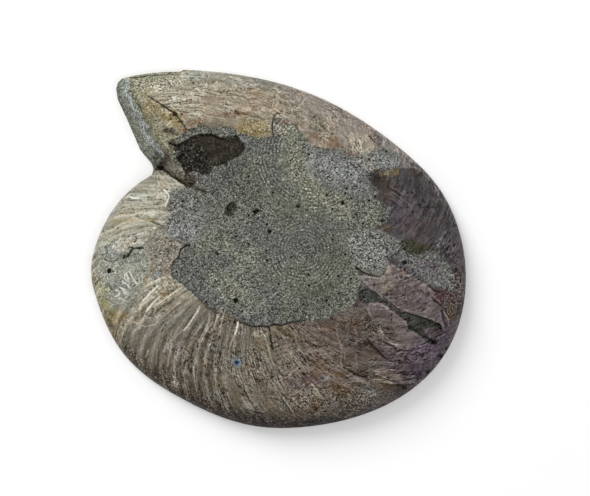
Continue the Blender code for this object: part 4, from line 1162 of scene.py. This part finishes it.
class Graph:
    """A material and short ways to add nodes to it."""

    def __init__(self, name):
        self.material = bpy.data.materials.new(name)
        self.material.use_nodes = True
        self.tree = self.material.node_tree
        self.shader = self.tree.nodes["Principled BSDF"]
        place = self.node("ShaderNodeTexCoord").outputs["Object"]
        self.position = self.scaled(place, 1 / MM)
        self.plan = self.stretched(self.position, 1.0, 1.0, STEEP_STRETCH)

    def node(self, kind, inputs=(), **settings):
        """A new node, given pairs of an input's place or name and what goes into it."""
        made = self.tree.nodes.new(kind)
        for name, value in settings.items():
            setattr(made, name, value)
        for key, value in dict(inputs).items():
            self.feed(made.inputs[key], value)
        return made

    def feed(self, socket, value):
        if isinstance(value, bpy.types.NodeSocket):
            self.tree.links.new(value, socket)
        else:
            socket.default_value = value

    def maths(self, operation, *values):
        return self.node("ShaderNodeMath", enumerate(values), operation=operation).outputs[0]

    def chain(self, operation, found, *others):
        """The operation carried through all the values, one after another."""
        for other in others:
            found = self.maths(operation, found, other)
        return found

    def times(self, *values):
        return self.chain("MULTIPLY", *values)

    def most(self, *values):
        return self.chain("MAXIMUM", *values)

    def total(self, *values):
        return self.chain("ADD", *values)

    def rest(self, value):
        """What the value leaves of 1."""
        return self.maths("SUBTRACT", 1.0, value)

    def size_of(self, value):
        return self.maths("ABSOLUTE", value)

    def centred(self, value, amount):
        """Noise turned into a number round 0 that spreads by the amount."""
        return self.times(self.maths("SUBTRACT", value, 0.5), amount)

    def fade(self, value, low, high, start=0.0, end=1.0):
        """Smooth change from start to end as the value goes from low to high."""
        return self.node("ShaderNodeMapRange", enumerate((value, low, high, start, end)),
                         interpolation_type="SMOOTHSTEP").outputs["Result"]

    def line(self, value, low, high, start=0.0, end=1.0):
        """Straight change, carried on beyond both ends."""
        return self.node("ShaderNodeMapRange", enumerate((value, low, high, start, end)),
                         clamp=False).outputs["Result"]

    def window(self, value, start, full, waning, gone):
        """1 between full and waning, fading to 0 at start and at gone."""
        return self.times(self.fade(value, start, full), self.fade(value, gone, waning))

    def mix(self, factor, under, over, blend="MIX"):
        inputs = {0: factor, 6: as_colour(under), 7: as_colour(over)}
        return self.node("ShaderNodeMix", inputs, data_type="RGBA", blend_type=blend).outputs[2]

    def between(self, factor, under, over):
        inputs = {0: factor, 2: under, 3: over}
        return self.node("ShaderNodeMix", inputs, data_type="FLOAT").outputs[0]

    def vector_maths(self, operation, vector, other):
        inputs = {0: vector, 1: other}
        return self.node("ShaderNodeVectorMath", inputs, operation=operation).outputs[0]

    def scaled(self, vector, factor):
        """The vector or colour times the factor."""
        inputs = {0: vector, "Scale": factor}
        return self.node("ShaderNodeVectorMath", inputs, operation="SCALE").outputs[0]

    def stretched(self, vector, along, across, up=1.0):
        return self.vector_maths("MULTIPLY", vector, (along, across, up))

    def moved(self, vector, by):
        return self.vector_maths("ADD", vector, by)

    def parts(self, vector):
        """The vector's X, Y and Z."""
        return self.node("ShaderNodeSeparateXYZ", {0: vector}).outputs

    def joined(self, x, y):
        return self.node("ShaderNodeCombineXYZ", {0: x, 1: y}).outputs[0]

    def noise_texture(self, vector, size, detail, roughness):
        inputs = {"Vector": vector, "Scale": 1 / size, "Detail": detail, "Roughness": roughness}
        return self.node("ShaderNodeTexNoise", inputs).outputs

    def noise(self, vector, size, detail=3.0, roughness=0.6):
        return self.noise_texture(vector, size, detail, roughness)["Fac"]

    def warped(self, vector, size, amount):
        """The vector pushed about by noise, so that patterns along it wander."""
        push = self.noise_texture(self.position, size, 2.0, 0.5)["Color"]
        even = self.vector_maths("SUBTRACT", push, (0.5, 0.5, 0.5))
        return self.moved(vector, self.scaled(even, amount))

    def cells(self, size, vector=None):
        """A random number for each grain of the size, and the distance from its middle."""
        inputs = {"Vector": vector or self.plan, "Scale": 1 / size}
        found = self.node("ShaderNodeTexVoronoi", inputs).outputs
        number = self.node("ShaderNodeSeparateColor", {0: found["Color"]}).outputs[0]
        return number, found["Distance"]

    def veins(self, vector, size, width):
        """Thin wandering lines, 1 on a line."""
        field = self.noise(vector, size, 1.5, 0.55)
        return self.fade(self.size_of(self.maths("SUBTRACT", field, 0.5)), width, 0.0)

    def zone(self, name, ragged, soft):
        """1 inside a zone of the stone, 0 outside, its edge pushed about by ragged."""
        return self.fade(self.total(self.attribute(name), ragged), -soft, soft)

    def dots(self, spacing, share, radius):
        """Scattered round dots, 1 inside: the share of the cells that has one."""
        number, far = self.cells(spacing)
        chosen = self.maths("LESS_THAN", number, share)
        return self.times(chosen, self.fade(far, radius / spacing, DOT_CORE * radius / spacing))

    def attribute(self, name):
        made = self.node("ShaderNodeAttribute", attribute_name=name)
        return made.outputs["Vector"] if name == "whorl" else made.outputs["Fac"]

    def ramp(self, factor, stops):
        """Colours at places along the factor, from (place, colour) pairs."""
        made = self.node("ShaderNodeValToRGB", {"Fac": factor})
        elements = made.color_ramp.elements
        while len(elements) < len(stops):
            elements.new(0.5)
        for element, (place, colour) in zip(elements, stops):
            element.position = place
            element.color = as_colour(colour)
        return made.outputs["Color"]

    def levels(self, factor, stops):
        """Grey multiplier along the factor, from (place, value) pairs."""
        return self.ramp(factor, [(place, (value, value, value, 1.0)) for place, value in stops])

    def bump(self, height, distance):
        inputs = {"Strength": 1.0, "Distance": distance * MM, "Height": height}
        return self.node("ShaderNodeBump", inputs).outputs["Normal"]

    def finish(self, colour, roughness, height=None, height_scale=0.0):
        """Feeds the shader, and gives the finished material."""
        self.feed(self.shader.inputs["Base Color"], colour)
        self.feed(self.shader.inputs["Roughness"], roughness)
        if height is not None:
            self.feed(self.shader.inputs["Normal"], self.bump(height, height_scale))
        return self.material


def shell_hue(graph, turn, depth, blotches):
    """Colour of the shell along the turn, browner and greyer in blotches; the rim's colours carry painted
    shade on the lower rim.
    """
    hue = graph.mix(graph.fade(depth, 8.0, 1.0), graph.ramp(turn, SHELL_FLANK),
                    graph.ramp(turn, SHELL_RIM))
    warm = graph.mix(1.0, hue, WARMER, "MULTIPLY")
    cool = graph.mix(1.0, hue, COOLER, "MULTIPLY")
    hue = graph.mix(graph.fade(blotches, 0.50, 0.66), hue, warm)
    hue = graph.mix(graph.fade(blotches, 0.48, 0.34), hue, cool)
    bands = graph.stretched(graph.warped(graph.attribute("whorl"), 4.0, 1.5), 1.0, 0.10)
    band = graph.noise(bands, 2.4, 2.0)
    early = graph.fade(turn, 0.24, 0.16)
    pale_band = graph.times(graph.fade(band, 0.53, 0.58), early, BAND_AMOUNT)
    dull_band = graph.times(graph.fade(band, 0.46, 0.41), early, BAND_AMOUNT)
    return graph.mix(dull_band, graph.mix(pale_band, hue, PALE_BAND), DULL_BAND)


def shell_lightness(graph, turn, calm, grain, mottle):
    """Streaks along the ribs, or along the whorl near the mouth, veins and mottling."""
    late = graph.fade(turn, 0.76, 0.84)
    wander = graph.fade(turn, 0.72, 0.80, 0.8, 4.5)
    whorl = graph.warped(graph.warped(graph.attribute("whorl"), 2.5, 1.2), 9.0, wander)
    along_rib = graph.stretched(whorl, 1.0, 0.16)
    along_whorl = graph.stretched(whorl, 0.11, 1.0)
    wide = graph.between(late, graph.noise(along_rib, 1.5, 2.0), graph.noise(along_whorl, 1.3, 2.0))
    thin = graph.between(late, graph.noise(along_rib, STREAK_WIDTH, 2.0),
                         graph.noise(along_whorl, STREAK_WIDTH, 2.0))
    fibre = graph.between(late, graph.cells(FIBRE_WIDTH, along_rib)[0],
                          graph.cells(FIBRE_WIDTH, along_whorl)[0])
    crossing, _ = graph.cells(STREAK_WIDTH, graph.stretched(whorl, 0.25, 1.0))
    low = graph.window(turn, *LOW_SIDE)
    spread = graph.between(low, graph.fade(turn, 0.13, 0.18, 1.2, 1.7), 2.2)
    broad = graph.total(1.0, graph.centred(wide, spread),
                        graph.times(graph.attribute("ribs"), RIB_SHADING))
    # each fine pattern, how much it shows, and how much it shows on the low side
    patterns = ((thin, 1.3, 1.4), (fibre, 0.55, 1.05), (crossing, 0.20, 0.70),
                (mottle, 1.8, 1.7), (grain, 0.25, 0.55))
    fine = graph.total(*(graph.centred(pattern, graph.between(low, amount, low_amount))
                         for pattern, amount, low_amount in patterns))
    busy = graph.fade(graph.noise(graph.plan, 6.0, 2.0), 0.34, 0.66, 0.45, 1.8)
    lightness = graph.times(broad, graph.total(1.0, graph.times(fine, busy, calm)))
    pale_veins = graph.veins(graph.stretched(graph.plan, 1.0, 0.8), 2.2, 0.05)
    dark_veins = graph.veins(graph.moved(graph.plan, (31.0, 17.0, 0.0)), 2.6, 0.04)
    veiled = graph.fade(graph.noise(graph.plan, 9.0, 2.0), 0.42, 0.58)
    lightness = graph.total(lightness, graph.times(pale_veins, veiled, 0.60),
                            graph.times(dark_veins, veiled, -0.45))
    return graph.most(lightness, 0.05), thin


def ground_grains(graph, grain):
    """Brightness of the fine grains, which lie in rings where grinding left them."""
    light = graph.levels(grain, FINE_GRAINS)
    for x, y, first, last in ARCS:
        from_centre = graph.warped(graph.moved(graph.plan, (-x, -y, 0.0)), 10.0, 1.0)
        right, up, _ = graph.parts(from_centre)
        flat = graph.stretched(from_centre, 1.0, 1.0, 0.0)
        far = graph.node("ShaderNodeVectorMath", {0: flat}, operation="LENGTH").outputs["Value"]
        ring = graph.joined(far, graph.times(graph.maths("ARCTAN2", up, right), RING_STRETCH))
        in_rings = graph.levels(graph.cells(RIM_GRAIN, ring)[0], FINE_GRAINS)
        patch = graph.noise(graph.moved(graph.plan, (x, y, 0.0)), 5.0, 2.0)
        near = graph.window(far, first - 2.0, first + 2.0, last - 3.0, last + 3.0)
        shown = graph.times(near, graph.fade(patch, 0.40, 0.58, 0.2, 0.95))
        light = graph.between(shown, light, in_rings)
        wave = graph.maths("SINE", graph.times(far, 2 * math.pi / RING_SPACING))
        light = graph.times(light, graph.total(1.0, graph.times(wave, shown, RING_DEPTH)))
    return light


def mouth_hue(graph, mask, fuzz):
    """The broken mouth's bands of colour, with thin laminae along them."""
    up = graph.parts(graph.position)["Y"]
    along = graph.joined(graph.times(mask["mouth_share"], 8.0), graph.times(up, 0.12))
    laminae = graph.noise(along, 0.8, 4.0, 0.7)
    hue = graph.ramp(graph.total(mask["mouth_share"], graph.times(fuzz, 0.25)), MOUTH_FACE)
    return graph.scaled(hue, graph.line(laminae, 0.3, 0.7, 0.66, 1.34))


def outside_hue(graph, mask, zone, fuzz, stains):
    """Colour of each place before its grain."""
    turn, depth = graph.attribute("turn"), graph.attribute("depth")
    shell = shell_hue(graph, turn, depth, graph.noise(graph.plan, 7.0, 5.0))
    cloud = graph.fade(graph.noise(graph.plan, 18.0, 2.0), 0.42, 0.60)
    matrix = graph.mix(cloud, MATRIX_GREY, MATRIX_OLIVE)
    matrix = graph.mix(graph.times(mask["sandy"], 0.9), matrix, SANDY_ARC)
    cloud = graph.fade(graph.noise(graph.plan, 9.0, 3.0), 0.44, 0.60)
    mould = graph.mix(cloud, MOULD_GREY, MOULD_BROWN)
    hue = graph.mix(zone["mould"], shell, mould)
    hue = graph.mix(zone["ledge"], hue, LEDGE_RUST)
    hue = graph.mix(zone["ground"], hue, matrix)
    for name, amount, colour in ZONE_COLOURS:
        hue = graph.mix(graph.times(zone[name], amount), hue, colour)
    hue = graph.mix(mask["wall"], hue, WALL_MUD)
    hue = graph.mix(mask["mouth"], hue, mouth_hue(graph, mask, fuzz))
    for name, colour, amount in TINTS:
        spread = graph.times(mask[name], graph.line(stains, 0.3, 0.7, 0.25, 1.7))
        hue = graph.mix(graph.fade(spread, 0.15, 0.9, 0.0, amount), hue, colour)
    hue = graph.mix(zone["channel"], hue, CHANNEL_DARK)
    hollow_floor = graph.mix(graph.fade(stains, 0.42, 0.60), HOLLOW_DARK, HOLLOW_BROWN)
    return graph.mix(zone["hollow"], hue, hollow_floor)


def rim_painted_light_and_shade(graph, turn, depth):
    """Painted light and shade on the last millimetre before the rim: a multiplier that darkens the lowest
    part of the rim and lightens the rest, most on the right side.
    """
    at_rim = graph.between(graph.window(turn, *LOWEST), 1.12, 0.62)
    at_rim = graph.between(graph.window(turn, *RIGHT_SIDE), at_rim, 1.45)
    return graph.fade(depth, -0.2, 0.9, at_rim, 1.0)


def outside_light(graph, mask, zone, shell_light, grain):
    """How light each place is beside its hue: grains, rings, streaks, shaded places, and the rim's painted
    light and shade.
    """
    turn, depth = graph.attribute("turn"), graph.attribute("depth")
    open_grain, open_far = graph.cells(OPEN_GRAIN)
    contrast = graph.line(mask["bold"], 0.0, 1.0, 1.0, BOLD_CONTRAST)
    open_grains = graph.centred(graph.levels(open_grain, OPEN_GRAINS), contrast)
    open_grains = graph.most(graph.total(open_grains, 0.5, graph.times(mask["bold"], -0.18)), 0.04)
    open_field = graph.most(*(graph.times(zone[name], amount) for name, amount in OPEN_ZONES))
    sand = graph.most(zone["ground"], graph.times(zone["olive"], 0.7),
                      graph.times(mask["mouth"], 0.75), graph.times(mask["wall"], 0.6))
    fine_grains = graph.between(GRAIN_CONTRAST, 1.0, ground_grains(graph, grain))
    light = graph.between(sand, shell_light, fine_grains)
    rim_grit = graph.times(graph.fade(depth, 6.0, 1.5), graph.fade(turn, 0.17, 0.26),
                           graph.fade(turn, 0.58, 0.44, 0.12, 1.0), graph.rest(sand), 0.85)
    rim_grain, _ = graph.cells(RIM_GRAIN, graph.moved(graph.plan, (50.0, 0.0, 0.0)))
    rim_grains = graph.levels(rim_grain, RIM_GRAINS)
    light = graph.times(light, graph.between(rim_grit, 1.0, rim_grains))
    rough_shell = graph.times(mask["bold"], graph.rest(sand), 0.9)
    light = graph.between(graph.most(open_field, rough_shell), light, open_grains)
    light = graph.between(graph.times(zone["hollow"], 0.75), light, 1.0)
    pitted = graph.line(mask["pitted"], 0.0, 1.0, 0.35, 1.3)
    light = graph.between(graph.times(zone["hollow"], pitted), light, rim_grains)
    lip = graph.times(graph.fade(graph.attribute("plate"), 1.0, 0.25), zone["plate"])
    light = graph.times(light, graph.line(mask["shade"], 0.0, 1.0, 1.0, SHADED),
                        graph.between(lip, 1.0, PLATE_LIP), rim_painted_light_and_shade(graph, turn, depth))
    return light, sand, open_field, open_far


def with_dots(graph, colour, mask, zone, shell_only):
    """The colour with scattered dark and pale dots."""
    fields = {
        "level": graph.times(zone["ground"], graph.rest(zone["hollow"])),
        "pitted": graph.times(zone["hollow"], mask["pitted"]),
        "shell": graph.times(shell_only, 0.85),
    }
    for spacing, share, radius, field, dot_colour in DOTS:
        dots = graph.times(graph.dots(spacing, share, radius), fields[field])
        colour = graph.mix(dots, colour, dot_colour)
    return colour


def with_lines(graph, colour, hue, mask, fuzz, mottle):
    """The colour with the drawn chalky lines, cracks, pits and the ink spot; many dark lines are painted
    shadow along ledges and below raised lines.
    """
    pale = graph.total(mask["pale"], graph.times(fuzz, 0.35), 0.05)
    pale = graph.times(graph.fade(pale, -LINE_SOFT, LINE_SOFT), graph.fade(mottle, 0.30, 0.60, 0.55, 1.0),
                       graph.line(mask["pale_amount"], 0.0, 0.8, 0.1, 1.0))
    chalk = graph.mix(graph.fade(mask["pale_amount"], 0.65, 0.95), CHALK, WHITE_CHALK)
    chalky = graph.fade(mask["pale_amount"], 0.3, 0.9, 0.2, 0.95)
    colour = graph.mix(pale, colour, graph.mix(chalky, graph.scaled(hue, 1.7), chalk))
    # dark lines and spots: black cracks and pits, and painted shadow along ledges and below raised lines
    dark = graph.total(mask["dark"], graph.times(fuzz, 0.25), 0.03)
    dark = graph.times(graph.fade(dark, -LINE_SOFT, LINE_SOFT),
                       graph.line(mask["dark_amount"], 0.0, 1.0, 0.2, 0.95))
    colour = graph.mix(dark, colour, CRACK_AND_SHADOW_BLACK)
    ink = graph.total(mask["ink"], graph.times(fuzz, 0.3))
    colour = graph.mix(graph.fade(ink, 0.10, 0.50, 0.0, 0.5), colour, INK_HALO)
    return graph.mix(graph.fade(ink, 0.55, 0.75), colour, INK_BLUE)


def outside_material():
    graph = Graph("fossil_outside")
    mask = {name: graph.attribute(name) for name in MASKS}
    grain, grain_far = graph.cells(GRAIN)
    mottle = graph.noise(graph.plan, 0.62, 3.0, 0.75)
    fuzz = graph.centred(graph.noise(graph.plan, 0.7, 3.0, 0.7), 1.5)
    stains = graph.noise(graph.plan, 1.5, 4.0, 0.7)
    zone = {name: graph.zone(name, graph.times(fuzz, 0.7), 0.12) for name in SHARP_ZONES}
    zone |= {name: graph.zone(name, graph.times(fuzz, 2.0), 1.2) for name in SOFT_ZONES}

    calm = graph.between(graph.most(zone["plate"], zone["lens"], zone["scale"]), 1.0, 0.6)
    calm = graph.between(zone["mould"], calm, 0.5)
    shell_light, streaks = shell_lightness(graph, graph.attribute("turn"), calm, grain, mottle)
    light, sand, open_field, open_far = outside_light(graph, mask, zone, shell_light, grain)
    hue = outside_hue(graph, mask, zone, fuzz, stains)
    inputs = {"Color": hue, "Saturation": graph.fade(light, 0.7, 2.0, 1.05, 0.55)}
    paler = graph.node("ShaderNodeHueSaturation", inputs).outputs["Color"]
    colour = with_dots(graph, graph.scaled(paler, light), mask, zone, graph.rest(sand))
    colour = with_lines(graph, colour, hue, mask, fuzz, mottle)

    rough = graph.between(sand, graph.line(mottle, 0.3, 0.7, *SHELL_ROUGHNESS), SAND_ROUGHNESS)
    rough = graph.between(open_field, rough, OPEN_ROUGHNESS)
    graph.shader.inputs["Specular IOR Level"].default_value = SPECULAR_LEVEL
    graph.shader.inputs["IOR"].default_value = STONE_IOR
    tooth = graph.between(sand, graph.times(streaks, 0.5), graph.times(grain_far, 0.9))
    tooth = graph.total(tooth, graph.times(mottle, 0.5), graph.times(open_far, open_field, 1.3))
    return graph.finish(colour, rough, tooth, TOOTH)


def sawn_material(shift):
    """The hidden sawn face: coiled shell wall, chambers full of calcite, mud in the last whorl."""
    graph = Graph("fossil_sawn_face")
    centre = graph.moved(graph.position, (shift[0] - POLE[0], shift[1] - POLE[1], 0.0))
    x, y, _ = graph.parts(centre)
    radius = graph.maths("SQRT", graph.total(graph.times(x, x), graph.times(y, y)))
    phase = graph.times(graph.maths("LOGARITHM", radius, math.e), 2 * math.pi / WHORL_LOG)
    sine, cosine = graph.maths("SINE", phase), graph.maths("COSINE", phase)
    start_cos, start_sin = graph.attribute("spiral_cos"), graph.attribute("spiral_sin")
    along = graph.total(graph.times(start_cos, cosine), graph.times(start_sin, sine))
    across = graph.maths("SUBTRACT", graph.times(start_sin, cosine), graph.times(start_cos, sine))
    whorl = graph.maths("DIVIDE", graph.maths("ARCTAN2", across, along), 2 * math.pi)
    wall_gap = graph.times(graph.size_of(whorl), graph.times(radius, WHORL_LOG))
    wobble = graph.line(graph.noise(graph.position, 2.0), 0.3, 0.7, -0.15, 0.15)
    wall = graph.fade(graph.total(wall_gap, wobble), *SAWN_WALL)
    inward_share = graph.maths("FRACT", graph.total(whorl, 1.0))
    bow = graph.times(graph.maths("POWER", graph.maths("SUBTRACT", inward_share, 0.5), 2.0), SEPTUM_BOW)
    swing = graph.total(graph.times(graph.maths("ARCTAN2", y, x), SEPTA_PER_TURN / 2), bow)
    from_septum = graph.size_of(graph.maths("SINE", swing))
    septum_gap = graph.times(from_septum, radius, 2 / SEPTA_PER_TURN)
    septum = graph.fade(graph.total(septum_gap, wobble), *SAWN_SEPTUM)
    body = graph.fade(graph.total(graph.attribute("body"), graph.times(wobble, 1.5)), 0.35, 0.65)

    fill = graph.noise(graph.position, 8.0, 3.0)
    cloudy = graph.noise(graph.position, 1.4, 5.0, 0.65)
    calcite = graph.scaled(graph.ramp(fill, SAWN_FILL), graph.line(cloudy, 0.3, 0.7, 0.7, 1.3))
    middle = graph.fade(from_septum, 0.55, 0.95)
    calcite = graph.mix(graph.times(middle, 0.45), calcite, CHAMBER_WHITE)
    grain, _ = graph.cells(0.5)
    mud = graph.scaled(graph.ramp(fill, SAWN_MUD), graph.levels(grain, FINE_GRAINS))
    shell_line = graph.most(wall, graph.times(septum, graph.rest(body)))
    colour = graph.mix(graph.times(shell_line, 0.85), graph.mix(body, calcite, mud), SAWN_SHELL)
    rough = graph.between(body, graph.line(cloudy, 0.3, 0.7, *CALCITE_ROUGHNESS), MUD_ROUGHNESS)
    return graph.finish(colour, rough, graph.times(cloudy, 0.4), SAWN_TOOTH)


# ---- studio -------------------------------------------------------------------------
def floor_material():
    graph = Graph("pale_floor")
    shade = graph.levels(graph.noise(graph.position, 30.0, 2.0), FLOOR_SHADES)
    graph.shader.inputs["Specular IOR Level"].default_value = 0.1
    return graph.finish(shade, 0.9)


def build_floor():
    half = FLOOR_SIZE / 2
    corners = ((-half, -half), (half, -half), (half, half), (-half, half))
    mesh = bpy.data.meshes.new("floor")
    mesh.from_pydata([(x, y, -FLOOR_GAP) for x, y in corners], [], [(0, 1, 2, 3)])
    mesh.materials.append(floor_material())
    floor = bpy.data.objects.new("floor", mesh)
    bpy.context.scene.collection.objects.link(floor)


def build_lights():
    """Even white surroundings, a low key lamp from the upper left and a high fill lamp."""
    scene = bpy.context.scene
    scene.world = bpy.data.worlds.new("studio")
    scene.world.use_nodes = True
    background = scene.world.node_tree.nodes["Background"]
    background.inputs["Color"].default_value = (1.0, 1.0, 1.0, 1.0)
    background.inputs["Strength"].default_value = WORLD_LIGHT
    for name, place, size, power in LAMPS:
        lamp = bpy.data.lights.new(name, "AREA")
        lamp.shape = "DISK"
        lamp.size = size
        lamp.energy = power
        item = bpy.data.objects.new(name, lamp)
        item.location = place
        item.rotation_euler = (-Vector(place)).to_track_quat("-Z", "Y").to_euler()
        scene.collection.objects.link(item)


def build_camera():
    """The camera, straight above the stone."""
    scene = bpy.context.scene
    lens = bpy.data.cameras.new("camera")
    lens.lens = CAMERA_LENS
    lens.sensor_width = SENSOR_WIDTH
    lens.clip_end = CLIP_END
    scene.camera = bpy.data.objects.new("camera", lens)
    scene.camera.location = CAMERA_PLACE
    scene.collection.objects.link(scene.camera)
    scene.view_settings.view_transform = "Standard"


def main():
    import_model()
    stone = build_stone()
    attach(stone, "root")
    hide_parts("ammonite")
    build_floor()
    build_lights()
    build_camera()


main()
